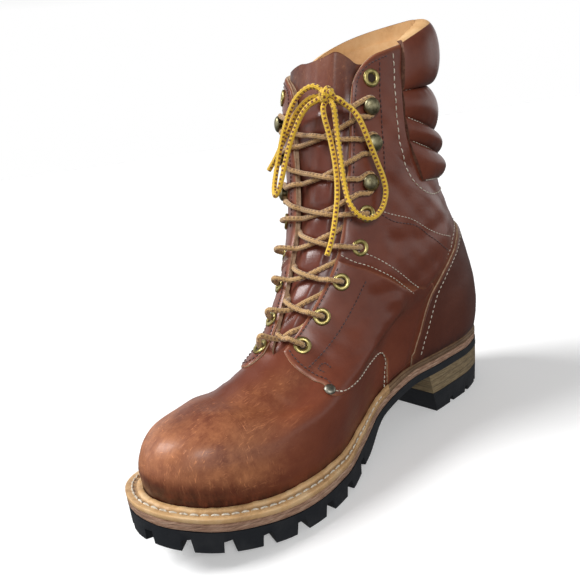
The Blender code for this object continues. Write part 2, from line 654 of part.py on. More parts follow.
def clear_of_flats(around, up, out):
    """Heights for a grid of corners, raised so that its flat faces stay outside the curved last between them."""
    turn = np.where(around - around[:1, :1] > 0.5, around - 1, around)
    turn = np.where(turn - turn[:1, :1] < -0.5, turn + 1, turn)
    corners = skin(turn % 1, up, out)
    raised = np.zeros_like(turn)

    def worst(share):
        low, high = share

        def mix(grid):
            grid = (1 - low) * grid[:-1] + low * grid[1:]
            return (1 - high) * grid[:, :-1] + high * grid[:, 1:]

        flat = mix(corners)
        middle_round, middle_up = mix(turn), mix(up)
        true = skin(middle_round % 1, middle_up, np.full(middle_up.shape, out))
        away = skin(middle_round % 1, middle_up, np.full(middle_up.shape, out + 0.001)) - true
        away /= np.linalg.norm(away, axis=-1, keepdims=True)
        return ((true - flat) * away).sum(-1)

    sags = np.array([worst(share) for share in ((0.5, 0.5), (0, 0.5), (1, 0.5), (0.5, 0), (0.5, 1))])
    sag = np.maximum(CURVE_ROOM * sags.max(0), -HOLLOW_ROOM * sags.min(0))
    for i in (0, 1):
        for j in (0, 1):
            part = raised[i:raised.shape[0] - 1 + i, j:raised.shape[1] - 1 + j]
            np.maximum(part, sag, out=part)
    return out + raised


def leather_patch(name, around, up, thick, paint, group):
    """A solid of leather laid on the last over a grid of shares."""
    lay = clear_of_flats(around, up, LAY) + (SHAFT_ROOM if thick == SHAFT else 0)
    return slab(name, skin(around % 1, up, lay + thick), skin(around % 1, up, lay), paint, group)


def overlay(name, first, second, rows, thick, paint, group, lateral=False):
    """A patch of leather on the last's face between two edges given in shares."""
    count = len(first)
    t = np.linspace(0, 1, rows)[None, :, None]
    shares = first[:, None, :] * (1 - t) + second[:, None, :] * t
    around, up = shares[..., 0], shares[..., 1]
    if lateral:
        around = mirrored(around, up)
    return leather_patch(name, around, up, thick, paint, group)


def make_overlays(paint, group, holes):
    """Quarters, shaft panels and heel counter, each butting on the next with a small clearance."""
    front = line_through(QUARTER_FRONT, 12)
    top = line_through(QUARTER_TOP, 12)
    for side in ("medial", "lateral"):
        lateral = side == "lateral"
        made = overlay("quarter_" + side, front, top, 8, QUARTER, paint, group, lateral)
        cut(made, holes)
        low = np.array([(a, u) for a, u in line_through(QUARTER_TOP[:6] + ((0.222, 0.400),), 9)])
        low[:, 1] += SEAM_ROOM
        low[:, 0] = np.minimum(low[:, 0], medial_edge(low[:, 1]) - 0.0015)
        high_round = np.linspace(float(medial_edge(0.99)) - 0.0015, 0.262, 9)
        high = np.array([(r, float(corner_share(np.array(r), np.array(1.0))) - 0.002) for r in high_round])
        made = shaft_panel("shaft_" + side, low, high, paint, group, lateral)
        cut(made, holes)
    end = COUNTER_EDGE[-1][0]
    rounds = np.linspace(-end, end, 19)[:, None]
    tops = through([row[0] for row in COUNTER_EDGE], [row[1] for row in COUNTER_EDGE], np.abs(rounds))
    tops = np.maximum(tops, COUNTER_FOOT + 0.025)
    up = COUNTER_FOOT + (tops - COUNTER_FOOT) * np.linspace(0, 1, 7)[None, :]
    leather_patch("counter", np.repeat(rounds, 7, 1), up, COUNTER, paint, group)


def shaft_panel(name, low, high, paint, group, lateral):
    """Leg panel from the quarter's top seam to the collar, its front edge along the facing."""
    rows = 9
    t = np.linspace(0, 1, rows)
    count = len(low)
    around, up = np.zeros((count, rows)), np.zeros((count, rows))
    for i in range(count):
        up[i] = low[i, 1] + (high[i, 1] - low[i, 1]) * t
        share = i / (count - 1)
        front = medial_edge(up[i]) - 0.0015
        back = pad_front(up[i]) + 0.012
        start = (low[i, 0] - back[0]) / (front[0] - back[0])
        end = (high[i, 0] - back[-1]) / (front[-1] - back[-1])
        around[i] = back + (front - back) * (start + (end - start) * smooth(0, 0.6, t))
    if lateral:
        around = mirrored(around, up)
    return leather_patch(name, around, up, SHAFT, paint, group)


def pad_front(up):
    """Front end of the padded rolls at a share up."""
    return through([0.0, 0.40, 0.56, 0.66, 0.735, 0.79, 0.838, 0.888, 1.0],
                   [0.200, 0.205, 0.185, 0.190, 0.215, 0.235, 0.246, 0.250, 0.252], up)


def make_collar(paint, group):
    """Four padded rolls round the back of the leg, the top one over the collar's edge."""
    columns, per_roll = 15, 4
    turns = np.linspace(-1, 1, columns)
    outer, grid_round, grid_up = [], [], []
    for turn in turns:
        away = abs(turn)
        places, lifts = [], []
        for low_row, high_row in zip(ROLLS, ROLLS[1:]):
            low = low_row[0] + (low_row[1] - low_row[0]) * away ** 1.5
            high = high_row[0] + (high_row[1] - high_row[0]) * away ** 1.5
            for step in range(per_roll):
                s = step / per_roll
                places.append(low + (high - low) * s)
                lifts.append(0.0016 + PAD_ROLL * sin(pi * s) ** 0.8 * (1 - away ** 4 * 0.75))
        for angle in np.linspace(-80, 95, 7):
            a = np.radians(angle)
            rise = ROLL_OVER - ROLL_PEAK if angle > 0 else ROLL_PEAK - high
            places.append(ROLL_PEAK + rise * sin(a) * (1 - 0.35 * away ** 3 * (angle > 0)))
            lifts.append(0.0016 + (PAD_TOP * (1 - 0.6 * away ** 4)) * cos(a) if angle < 90 else -UPPER_WALL * 0.8)
        places, lifts = np.array(places), np.array(lifts)
        ends = np.array([pad_front(min(p, 1.0)) for p in places]) - 0.004
        around = (turn * ends) % 1
        beyond = np.maximum(places - 1.0, 0) * UPPER_HEIGHT / 0.72
        rise = np.stack([beyond * 0, beyond * 0, beyond], -1)
        outer.append(skin(around, np.minimum(places, 1.0), lifts) + rise)
        grid_round.append(np.where(around > 0.5, around - 1, around))
        grid_up.append(places)
    grid_round, grid_up = np.array(grid_round), np.array(grid_up)
    under = clear_of_flats(grid_round, np.minimum(grid_up, 1.0), LAY)
    last = grid_up.shape[1] - 1
    lid = np.where(grid_up > 1.0, LAY, 0.0)
    under[:, last] = -UPPER_WALL * 0.8
    inner = skin(grid_round % 1, np.minimum(grid_up, 1.0), under) + lid[..., None] * np.array([0, 0, 1.0])
    slab("collar_pad", np.array(outer), inner, paint, group)


def make_tongue(paint, group):
    """The tongue fills the throat from behind, tucked under both facings, and bulges between them."""
    ups = np.concatenate([[0.470, 0.505, 0.54], np.linspace(0.585, 0.995, 9)])
    across = np.linspace(0, 1, 9)
    outer, inner = np.zeros((9, len(ups), 3)), np.zeros((9, len(ups), 3))
    for j, up in enumerate(ups):
        high, low = float(medial_edge(up)) - TONGUE_TUCK, float(lateral_edge(up)) + TONGUE_TUCK
        rounds = high + (low - high) * across
        deep = -UPPER_WALL - LAY - GAP * 2 - TONGUE
        open_share = smooth(0.30, 0.42, across) * smooth(0.70, 0.58, across)
        bulge = open_share * (UPPER_WALL + 0.0004) * smooth(THROAT_BASE, 0.56, up)
        outer[:, j] = skin(rounds, up, deep + TONGUE + bulge)
        inner[:, j] = skin(rounds, up, deep + bulge)
    slab("tongue", outer, inner, paint, group)


def turned(name, profile, sides, paint, group, place, closed=False):
    """A solid turned round its own Z axis from a profile of radius and height."""
    mesh = bpy.data.meshes.new(name)
    edges = [(i, i + 1) for i in range(len(profile) - 1)]
    if closed:
        edges.append((len(profile) - 1, 0))
    mesh.from_pydata([(r, 0, h) for r, h in profile], edges, [])
    made = bpy.data.objects.new(name, mesh)
    made.data.materials.append(paint)
    group.objects.link(made)
    made.matrix_world = place
    turn = made.modifiers.new("Turn", "SCREW")
    turn.axis = "Z"
    turn.steps = sides
    turn.render_steps = sides
    turn.use_merge_vertices = True
    turn.merge_threshold = 0.00001
    return made


def stand(around, up, out):
    """Where a fitting stands: its Z axis out of the leather."""
    spot = Vector(skin(around, up, out))
    turn = normal_at(around, up).to_track_quat("Z", "Y").to_matrix().to_4x4()
    return Matrix.Translation(spot) @ turn


def facing_out(up):
    """Height of the overlay's outer face over the last at the facings."""
    return LAY + (SHAFT + SHAFT_ROOM if up > 0.655 else QUARTER)


def clear_height(around, up, radius):
    """How far above the last a flat fitting stands so that it clears the curved leather all round."""
    centre = skin(around, up, 0.0)
    away = skin(around, up, 0.001) - centre
    away /= np.linalg.norm(away)
    wide = np.linalg.norm(skin(around + 0.01, up, 0.0) - centre) / 0.01
    tall = np.linalg.norm(skin(around, up + 0.01, 0.0) - centre) / 0.01
    highest = 0.0
    for angle in np.linspace(0, 2 * pi, 16, endpoint=False):
        there = up + radius * sin(angle) / tall
        spot = skin(around + radius * cos(angle) / wide, there, facing_out(there))
        highest = max(highest, float((spot - centre) @ away))
    corner = FITTING_ROOM * (1 + 1.3 * float(smooth(0.42, 0.47, up))) * float(smooth(0.64, 0.54, up))
    return max(highest, facing_out(up)) + corner + LAY + GAP


def make_fittings(brass, bronze, steel, group):
    """Eyelets, speed hooks and rivets of both sides."""
    for side in ("medial", "lateral"):
        for number, (up, around) in enumerate(EYELETS, 1):
            around = float(mirrored(around, up)) if side == "lateral" else around
            height = clear_height(around, up, EYELET_OUTER)
            place = stand(around, up, height)
            depth = height + UPPER_WALL + GAP
            barrel = EYELET_HOLE + EYELET_TUBE
            profile = ((EYELET_HOLE, EYELET_THICK), (EYELET_OUTER, 0.0), (barrel, 0.0), (barrel, -depth),
                       (EYELET_HOLE, -depth))
            turned("eyelet_%s_%d" % (side, number), profile, 8, brass, group, place, closed=True)
        for number, (up, around) in enumerate(HOOKS, 1):
            around = float(mirrored(around, up)) if side == "lateral" else around
            place = stand(around, up, clear_height(around, up, HOOK_BASE))
            profile = ((0.0, HOOK_HEIGHT), (HOOK_CAP * 0.72, HOOK_HEIGHT - 0.0008), (HOOK_CAP, 0.0036),
                       (HOOK_NECK, 0.0030), (HOOK_NECK, 0.0008), (HOOK_BASE, 0.0), (0.0, 0.0))
            turned("hook_%s_%d" % (side, number), profile, 8, bronze, group, place)
        up, around = RIVET
        around = float(mirrored(around, up)) if side == "lateral" else around
        place = stand(around, up, clear_height(around, up, RIVET_RADIUS))
        profile = ((0.0, RIVET_HEIGHT), (RIVET_RADIUS * 0.7, RIVET_HEIGHT), (RIVET_RADIUS, 0.0), (0.0, 0.0))
        turned("rivet_" + side, profile, 8, steel, group, place)


def eyelet_cutters(cutters):
    """Round cutters for the eyelets' barrels through quarter and wall."""
    pieces = []
    for side in ("medial", "lateral"):
        for up, around in EYELETS:
            place = stand(mirrored(around, up) if side == "lateral" else around, up, 0.0)
            shape = bmesh.new()
            radius = EYELET_HOLE + EYELET_TUBE + GAP
            bmesh.ops.create_cone(shape, cap_ends=True, segments=8, radius1=radius, radius2=radius, depth=0.016)
            bmesh.ops.transform(shape, matrix=place, verts=shape.verts)
            pieces.append(shape)
    corners, faces = [], []
    for shape in pieces:
        first = len(corners)
        shape.verts.ensure_lookup_table()
        corners += [tuple(v.co) for v in shape.verts]
        faces += [tuple(first + v.index for v in face.verts) for face in shape.faces]
        shape.free()
    return join_cutter("eyelet_bores", corners, faces, cutters)


def smooth_route(points, step):
    """Even points along a smooth curve through a route's own points."""
    points = [Vector(p) for p in points]
    ends = [points[0] * 2 - points[1]] + points + [points[-1] * 2 - points[-2]]
    fine = []
    for a, b, c, d in zip(ends, ends[1:], ends[2:], ends[3:]):
        for k in range(12):
            t = k / 12
            fine.append(0.5 * (2 * b + (c - a) * t + (2 * a - 5 * b + 4 * c - d) * t * t
                               + (3 * b - a - 3 * c + d) * t ** 3))
    fine = np.array([tuple(p) for p in fine + [points[-1]]])
    far = np.concatenate([[0], np.cumsum(np.linalg.norm(np.diff(fine, axis=0), axis=1))])
    want = np.linspace(0, far[-1], max(int(round(far[-1] / step)), 2) + 1)
    return np.stack([np.interp(want, far, fine[:, k]) for k in range(3)], 1)


def cord(name, route, thick, sides, paint, group):
    """A lace as a tube along a line of points."""
    curve = bpy.data.curves.new(name, "CURVE")
    curve.dimensions = "3D"
    curve.bevel_depth = thick / 2
    curve.bevel_resolution = sides
    curve.use_fill_caps = True
    line = curve.splines.new("POLY")
    line.points.add(len(route) - 1)
    for spot, point in zip(route, line.points):
        point.co = (*map(float, spot), 1)
    made = bpy.data.objects.new(name, curve)
    made.data.materials.append(paint)
    group.objects.link(made)
    return made


def from_knot(route, both_ends):
    """A route led up to the knot's surface at its first end, or at both."""
    knot, size = np.array(KNOT), np.array(KNOT_SIZE)

    def touch(spot):
        away = np.array(spot) - knot
        away /= np.linalg.norm(away / size)
        return tuple(knot + away * (1 + GAP * 4 / np.linalg.norm(away)))

    led = [touch(route[0])] + list(route)
    return led + [touch(route[-1])] if both_ends else led


def as_mesh(made, group):
    """Turns a lace tube into a closed mesh object of the same name."""
    name = made.name
    view = bpy.context.evaluated_depsgraph_get()
    mesh = bpy.data.meshes.new_from_object(made.evaluated_get(view))
    shape = bmesh.new()
    shape.from_mesh(mesh)
    bmesh.ops.remove_doubles(shape, verts=shape.verts, dist=1e-6)
    bmesh.ops.recalc_face_normals(shape, faces=shape.faces)
    shape.to_mesh(mesh)
    shape.free()
    place = made.matrix_world.copy()
    bpy.data.objects.remove(made)
    fresh = bpy.data.objects.new(name, mesh)
    fresh.matrix_world = place
    group.objects.link(fresh)
    return fresh


def strand(start, end, lateral_first, over):
    """Lace from outside one facing, over its edge and across the tongue to the other facing's edge."""
    (up_a, round_a), (up_b, round_b) = start, end
    points = []
    radius = LACE / 2
    for s in np.linspace(0, 1, 9):
        up = up_a + (up_b - up_a) * s
        if lateral_first:
            a, b = mirrored(round_a, up_a), medial_edge(up_b) + EDGE_ROOM
            edge = lateral_edge(up)
            inside = smooth(edge - 0.001, edge - 0.020, a + (b - a) * s)
        else:
            a, b = round_a, lateral_edge(up_b) - EDGE_ROOM
            edge = medial_edge(up)
            inside = smooth(edge + 0.001, edge + 0.020, a + (b - a) * s)
        around = a + (b - a) * s
        high = clear_height(float(around), float(up), EYELET_OUTER) + EYELET_THICK + GAP + radius
        high += 0.0005 * float(1 - smooth(0.1, 0.35, s))
        low = LACE_REST + radius + over * sin(pi * min(max((s - 0.25) / 0.7, 0), 1))
        points.append(skin(around, up, high + (low - high) * inside))
    return np.array(points)


def hook_strand(low, high, lateral_first, over):
    """Lace from beside one hook, over both facing edges, to beside the next hook of the other side."""
    (up_a, round_a), (up_b, round_b) = low, high
    radius = LACE / 2
    points = []
    for s in np.linspace(0, 1, 9):
        up = up_a + HOOK_SPREAD + (up_b - up_a - 2 * HOOK_SPREAD) * s
        if lateral_first:
            a, b = float(mirrored(round_a, up_a)) - HOOK_ROOM, round_b + HOOK_ROOM
        else:
            a, b = round_a + HOOK_ROOM, float(mirrored(round_b, up_b)) - HOOK_ROOM
        around = a + (b - a) * s
        outside = max(float(smooth(medial_edge(up) + 0.022, medial_edge(up) + 0.006, around)),
                      float(smooth(lateral_edge(up) - 0.022, lateral_edge(up) - 0.006, around)))
        low_out = LACE_REST + radius + over * sin(pi * s)
        points.append(skin(around, up, low_out + (facing_out(up) + 3 * LAY + radius - low_out) * outside))
    return np.array(points)


def make_laces(paint, group):
    """Crossings between the rows of eyelets and hooks, each joined into one solid, and the free bow."""
    rows = list(EYELETS[:5]) + list(HOOKS)
    for number in range(len(rows) - 1):
        low, high = rows[number], rows[number + 1]
        trace = strand if number < 5 else hook_strand
        first = as_mesh(cord("lace_cross_%d" % (number + 1), trace(low, high, False, LACE * 0.50), LACE, 1,
                             paint, group), group)
        second = as_mesh(cord("lace_under_%d" % (number + 1), trace(low, high, True, 0.0), LACE, 1,
                              paint, group), group)
        merge(first, second, paint)
    for name, route, both_ends in (
        ("lace_loop_medial", LOOP_MEDIAL, True), ("lace_end_medial", END_MEDIAL, False),
        ("lace_loop_lateral", LOOP_LATERAL, True), ("lace_end_lateral", END_LATERAL, False),
    ):
        cord(name, smooth_route(from_knot(route, both_ends), LACE * 2.9), LACE, 2, paint, group)
    up, around = HOOKS[-1]
    over = facing_out(up) + 3 * LAY + LACE / 2
    for side, start, middle, sink in (("medial", around + HOOK_ROOM, 0.412, -0.003),
                                      ("lateral", float(mirrored(around, up)) - HOOK_ROOM, 0.512, 0.008)):
        bar = [tuple(skin(start, up + 0.006, over)), tuple(skin(middle, up - sink, over))]
        cord("lace_bar_" + side, smooth_route(from_knot(bar[::-1], False), LACE * 2), LACE, 1, paint, group)
    bpy.ops.mesh.primitive_uv_sphere_add(segments=12, ring_count=8, radius=1)
    knot = bpy.context.object
    knot.name = "lace_knot"
    knot.data.name = "lace_knot"
    knot.data.transform(Matrix.Diagonal((*KNOT_SIZE, 1)))
    knot.location = KNOT
    knot.data.materials.append(paint)
    for held in list(knot.users_collection):
        held.objects.unlink(knot)
    group.objects.link(knot)


def merge(first, second, paint):
    """Joins two closed meshes that cross into one."""
    change = first.modifiers.new("Union", "BOOLEAN")
    change.operation = "UNION"
    change.solver = "EXACT"
    change.object = second
    view = bpy.context.evaluated_depsgraph_get()
    mesh = bpy.data.meshes.new_from_object(first.evaluated_get(view))
    first.modifiers.clear()
    first.data = mesh
    first.data.materials.clear()
    first.data.materials.append(paint)
    bpy.data.objects.remove(second)


def main():
    for item in list(bpy.data.objects):
        bpy.data.objects.remove(item)
    group = bpy.data.collections.new("logger_boot")
    cutters = bpy.data.collections.new("cutters")
    bpy.context.scene.collection.children.link(group)
    bpy.context.scene.collection.children.link(cutters)
    leather = material("red_brown_leather", (0.17, 0.045, 0.028), 0.42)
    dark = material("dark_leather", (0.10, 0.028, 0.018), 0.5)
    tan = material("tan_leather", (0.60, 0.36, 0.16), 0.6)
    brown = material("brown_leather", (0.22, 0.12, 0.07), 0.6)
    rubber = material("black_rubber", (0.02, 0.022, 0.026), 0.7)
    brass = material("brass", (0.52, 0.42, 0.16), 0.35, 1.0)
    bronze = material("old_bronze", (0.19, 0.17, 0.10), 0.45, 1.0)
    steel = material("dull_steel", (0.35, 0.34, 0.30), 0.45, 1.0)
    yellow = material("yellow_lace", (0.65, 0.38, 0.06), 0.8)
    holes = eyelet_cutters(cutters)
    make_outsole(rubber, group, cutters)
    make_heel(rubber, brown, group, cutters)
    loop = plan_loop(1.0, 0.0005)
    low = seat(loop[:, 1]) + GAP
    plate("midsole", loop, low + MIDSOLE, low, brown, group)
    make_welt(tan, brown, group)
    make_insole(tan, group)
    make_upper(leather, group, holes)
    make_overlays(leather, group, holes)
    make_collar(leather, group)
    make_tongue(dark, group)
    make_fittings(brass, bronze, steel, group)
    make_laces(yellow, group)


main()
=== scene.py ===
"""Looks of the logger boot: dense leather, stitches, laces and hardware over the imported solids.

A place on the leather is given as in the part: "round" from the back centre (0) past the medial side to the
front (0.5) and back, and "up" from the welt (0) to the collar (1).
"""
from math import cos, pi, sin

import bpy
import bmesh
import numpy as np
from mathutils import Matrix, Vector


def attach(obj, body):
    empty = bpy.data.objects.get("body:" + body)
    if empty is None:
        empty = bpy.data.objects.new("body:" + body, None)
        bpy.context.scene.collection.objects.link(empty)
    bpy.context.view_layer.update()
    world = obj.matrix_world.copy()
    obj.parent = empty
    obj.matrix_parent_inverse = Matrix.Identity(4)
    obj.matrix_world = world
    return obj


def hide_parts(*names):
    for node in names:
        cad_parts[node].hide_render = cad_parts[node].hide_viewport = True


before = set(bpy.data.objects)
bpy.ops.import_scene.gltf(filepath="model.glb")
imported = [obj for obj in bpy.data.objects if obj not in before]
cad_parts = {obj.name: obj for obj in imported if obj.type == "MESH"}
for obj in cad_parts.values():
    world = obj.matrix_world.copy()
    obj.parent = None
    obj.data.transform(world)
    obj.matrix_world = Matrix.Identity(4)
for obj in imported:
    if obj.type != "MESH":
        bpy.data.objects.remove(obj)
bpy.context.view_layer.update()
scene = bpy.context.scene

# ---------------------------------------------------------------- sizes, as in the part
LENGTH = 0.330
BALL_WIDTH = 0.118
HEEL_BACK = 0.058
HEEL_HEIGHT = 0.039
RUBBER = 0.013
BASE = 0.0055
TOE_SPRING = 0.021
LIFT = 0.0165
LIFT_TAPER = 0.0025
BREAST_SHARE = 0.29
BREAST_SLANT = 0.006
MIDSOLE = 0.0045
WELT = 0.0035
STORM_RIDGE = 0.0022
STORM_WIDTH = 0.0040
WELT_END = 0.23
LUG_PITCH = 0.0225
LUG_GAP = 0.0055
LUG_REACH = 0.024
LUG_FLARE = 0.0022
RIB_WIDTH = 0.005
HEEL_NOTCH = 0.0045
GAP = 0.0003
SEAT_GAP = 0.0008
UPPER_HEIGHT = 0.2375
WALL = 0.0024
QUARTER = 0.0016
SHAFT = 0.0023
COUNTER = 0.0022
TONGUE = 0.0026
LACE = 0.0036
PAD_TOP = 0.0125
PAD_ROLL = 0.0075
ROLL_PEAK = 0.962
ROLL_OVER = 1.032
BACK_POINT = 2.4
THROAT_BASE = 0.488
CORNER_ROUND = 0.075
CORNER_DROP = 0.055
# for the scene alone
SIDES = ("medial", "lateral")
WELT_TOP = GAP + MIDSOLE + SEAT_GAP + WELT      # above the seat
ON_SKIN = 0.0001            # gap between the upper and the panels on it
THREAD_LIFT = 0.00012       # height of a seam's line above its leather
SET_BACK = 0.0008           # share round between the throat's edge and a panel
UNDER_FACING = 0.045        # share round that the tongue runs under each facing
HOOK_SIDE = 0.0040          # how far a lace runs past a hook's middle
HOOK_OVER = 0.0041 / UPPER_HEIGHT       # share up between a hook's middle and the lace that passes it
HOOK_LEAVE = 0.0032 / UPPER_HEIGHT      # and where the lace leaves the hook
STRANDS, WEAVE, FLECKS = 5, 480, 340    # of the laces: strands round, and weaves and flecks in a metre
LENS = 36.4
# how far the two strands of the crossings arch up from their eyelets, from the lowest crossing up
ARCS = ((0.0030, 0.0070), (0.0036, 0.0078), (0.0036, 0.0072), (0.0026, 0.0056), (0.0012, 0.0022))
# shares up at which the laces press the tongue in
PINCHES = np.array([0.527, 0.580, 0.630, 0.678, 0.732, 0.794, 0.865, 0.920])

# the sole's outline: share along, and half width of the medial and the lateral side
OUTLINE = (
    (0.000, 0.000, 0.000), (0.004, 0.085, 0.070), (0.014, 0.163, 0.135), (0.036, 0.252, 0.212),
    (0.080, 0.322, 0.282), (0.150, 0.355, 0.325), (0.240, 0.350, 0.345), (0.350, 0.318, 0.360),
    (0.450, 0.304, 0.390), (0.545, 0.367, 0.448), (0.640, 0.452, 0.505), (0.716, 0.478, 0.522),
    (0.792, 0.456, 0.503), (0.867, 0.403, 0.442), (0.924, 0.340, 0.362), (0.964, 0.254, 0.255),
    (0.986, 0.172, 0.146), (0.996, 0.100, 0.060), (1.000, 0.050, 0.000),
)
# the upper's form from the welt to the collar: front along and up, back along and up, medial and lateral half
# width, share of the sole's outline, bulge, power of the oval, shift to the medial side, fall at the flank
RINGS = (
    (0.967, 0.000, 0.011, 0.000, 0.398, 0.424, 1.00, 1.03, 2.20, 0.000, 0.000),
    (0.971, 0.052, 0.000, 0.055, 0.411, 0.441, 1.00, 1.06, 2.20, 0.008, 0.021),
    (0.962, 0.101, -0.006, 0.113, 0.415, 0.437, 0.95, 1.07, 2.00, 0.017, 0.055),
    (0.938, 0.152, -0.006, 0.172, 0.415, 0.424, 0.86, 1.05, 1.80, 0.025, 0.097),
    (0.888, 0.195, -0.002, 0.227, 0.407, 0.407, 0.68, 1.01, 1.60, 0.034, 0.136),
    (0.814, 0.228, 0.008, 0.281, 0.398, 0.390, 0.44, 0.98, 1.45, 0.034, 0.144),
    (0.738, 0.255, 0.020, 0.336, 0.386, 0.377, 0.25, 0.96, 1.50, 0.030, 0.127),
    (0.668, 0.302, 0.036, 0.394, 0.369, 0.369, 0.11, 0.96, 1.60, 0.013, 0.085),
    (0.602, 0.379, 0.059, 0.458, 0.347, 0.362, 0.02, 0.95, 1.90, 0.004, 0.042),
    (0.539, 0.468, 0.083, 0.528, 0.326, 0.364, 0.00, 0.95, 2.20, 0.000, 0.013),
    (0.492, 0.567, 0.100, 0.608, 0.311, 0.381, 0.00, 0.95, 2.40, -0.008, 0.000),
    (0.467, 0.665, 0.109, 0.697, 0.303, 0.405, 0.00, 0.95, 2.50, -0.017, 0.000),
    (0.448, 0.763, 0.115, 0.794, 0.295, 0.424, 0.00, 0.95, 2.60, -0.025, 0.000),
    (0.433, 0.854, 0.120, 0.895, 0.290, 0.431, 0.00, 0.95, 2.70, -0.025, 0.000),
    (0.411, 0.940, 0.123, 1.000, 0.288, 0.422, 0.00, 0.95, 2.70, -0.025, 0.000),
)
# the throat's edges: up, medial and lateral share round
THROAT = (
    (0.488, 0.4585, 0.4585), (0.500, 0.446, 0.470), (0.525, 0.433, 0.486), (0.560, 0.426, 0.505),
    (0.600, 0.417, 0.520), (0.650, 0.409, 0.530), (0.720, 0.408, 0.531), (0.800, 0.403, 0.534),
    (0.880, 0.398, 0.536), (1.000, 0.395, 0.537),
)
# the fittings: share up, share round
EYELETS = ((0.500, 0.410), (0.553, 0.399), (0.606, 0.385), (0.652, 0.362), (0.704, 0.357), (0.955, 0.345))
HOOKS = ((0.759, 0.354), (0.829, 0.344), (0.900, 0.349))
RIVET = (0.330, 0.330)
# edges of the panels: (round, up), but (up at the back, up at the ends) for the seams of the rolls
QUARTER_FRONT = ((0.438, 0.492), (0.409, 0.457), (0.374, 0.418), (0.346, 0.372), (0.320, 0.295),
                 (0.300, 0.258), (0.268, 0.235), (0.238, 0.178), (0.229, 0.100), (0.228, 0.020))
QUARTER_TOP = ((0.408, 0.640), (0.372, 0.622), (0.337, 0.600), (0.307, 0.572), (0.270, 0.520),
               (0.240, 0.455), (0.215, 0.380), (0.200, 0.300), (0.198, 0.180), (0.206, 0.020))
COUNTER_EDGE = ((0.000, 0.492), (0.050, 0.490), (0.100, 0.478), (0.140, 0.432), (0.166, 0.380),
                (0.180, 0.300), (0.187, 0.200), (0.194, 0.100), (0.200, 0.020))
ROLLS = ((0.653, 0.706), (0.703, 0.806), (0.765, 0.856), (0.890, 0.908))
# the bow: the knot and the routes of its cords, as in the part
KNOT = np.array([0.0185, -0.0915, 0.2485])
KNOT_SIZE = np.array([0.0066, 0.0050, 0.0056])
LOOP_MEDIAL = (
    (0.0262, -0.0893, 0.2445), (0.0285, -0.086, 0.2405), (0.0319, -0.0829, 0.236), (0.0355, -0.0815, 0.229),
    (0.0378, -0.08, 0.22), (0.0388, -0.077, 0.2105), (0.0393, -0.0735, 0.201), (0.0404, -0.0707, 0.1915),
    (0.0418, -0.0712, 0.1815), (0.0424, -0.0775, 0.172), (0.0416, -0.0867, 0.1675), (0.0384, -0.095, 0.17),
    (0.034, -0.0988, 0.1785), (0.0298, -0.0972, 0.189), (0.0276, -0.0956, 0.2), (0.0258, -0.094, 0.211),
    (0.0246, -0.093, 0.222), (0.024, -0.0924, 0.232), (0.024, -0.0928, 0.2405)
)
END_MEDIAL = (
    (0.0166, -0.0948, 0.241), (0.0178, -0.0958, 0.234), (0.0192, -0.0952, 0.225), (0.0206, -0.0952, 0.216),
    (0.0222, -0.096, 0.206), (0.0236, -0.0975, 0.196), (0.025, -0.1005, 0.185), (0.0258, -0.1045, 0.175),
    (0.0264, -0.109, 0.165), (0.0268, -0.114, 0.156), (0.0268, -0.119, 0.149)
)
LOOP_LATERAL = (
    (0.0122, -0.094, 0.2545), (0.008, -0.0957, 0.2554), (0.002, -0.097, 0.2535), (-0.004, -0.0985, 0.2495),
    (-0.0095, -0.1005, 0.242), (-0.0135, -0.103, 0.2325), (-0.0165, -0.1055, 0.2225),
    (-0.0185, -0.1085, 0.212), (-0.0195, -0.112, 0.202), (-0.0185, -0.116, 0.1935), (-0.0145, -0.1195, 0.189),
    (-0.0105, -0.119, 0.1925), (-0.0085, -0.116, 0.201), (-0.0075, -0.112, 0.2105), (-0.006, -0.108, 0.22),
    (-0.003, -0.1045, 0.229), (0.0015, -0.1015, 0.2375), (0.0065, -0.0992, 0.243), (0.011, -0.0972, 0.2455)
)
END_LATERAL = (
    (0.0118, -0.0905, 0.2484), (0.0075, -0.0916, 0.249), (0.002, -0.0931, 0.248), (-0.005, -0.0952, 0.2435),
    (-0.0115, -0.0968, 0.2365), (-0.017, -0.0985, 0.2285), (-0.0222, -0.1005, 0.2205),
    (-0.028, -0.1025, 0.2125), (-0.0345, -0.1045, 0.205)
)

# ---------------------------------------------------------------- the camera, as fitted to the photo
AIM_PIXEL = (163.5, 285.0)
PHOTO_FOCAL = 415.07
PHOTO_CENTRE = (336.88, 342.96)
CAMERA_AT = Vector((0.29028, -0.38397, 0.22956))
CAMERA_RIGHT = Vector((0.89933, 0.43700, 0.01525))
CAMERA_UP = Vector((-0.18914, 0.35732, 0.91463))
CAMERA_BACK = Vector((0.39425, -0.82544, 0.40400))


def make_camera():
    data = bpy.data.cameras.new("camera")
    camera = bpy.data.objects.new("camera", data)
    scene.collection.objects.link(camera)
    ahead = (-CAMERA_BACK * PHOTO_FOCAL + CAMERA_RIGHT * (AIM_PIXEL[0] - PHOTO_CENTRE[0])
             - CAMERA_UP * (AIM_PIXEL[1] - PHOTO_CENTRE[1])).normalized()
    right = ahead.cross(CAMERA_UP).normalized()
    up = right.cross(ahead)
    turn = Matrix((right, up, -ahead)).transposed().to_4x4()
    camera.matrix_world = Matrix.Translation(CAMERA_AT) @ turn
    data.sensor_width = 36
    data.lens = LENS
    data.clip_start, data.clip_end = 0.01, 20
    scene.camera = camera


make_camera()


# ---------------------------------------------------------------- the form
def smooth(start, end, x):
    t = np.clip((np.asarray(x, float) - start) / (end - start), 0, 1)
    return t * t * (3 - 2 * t)


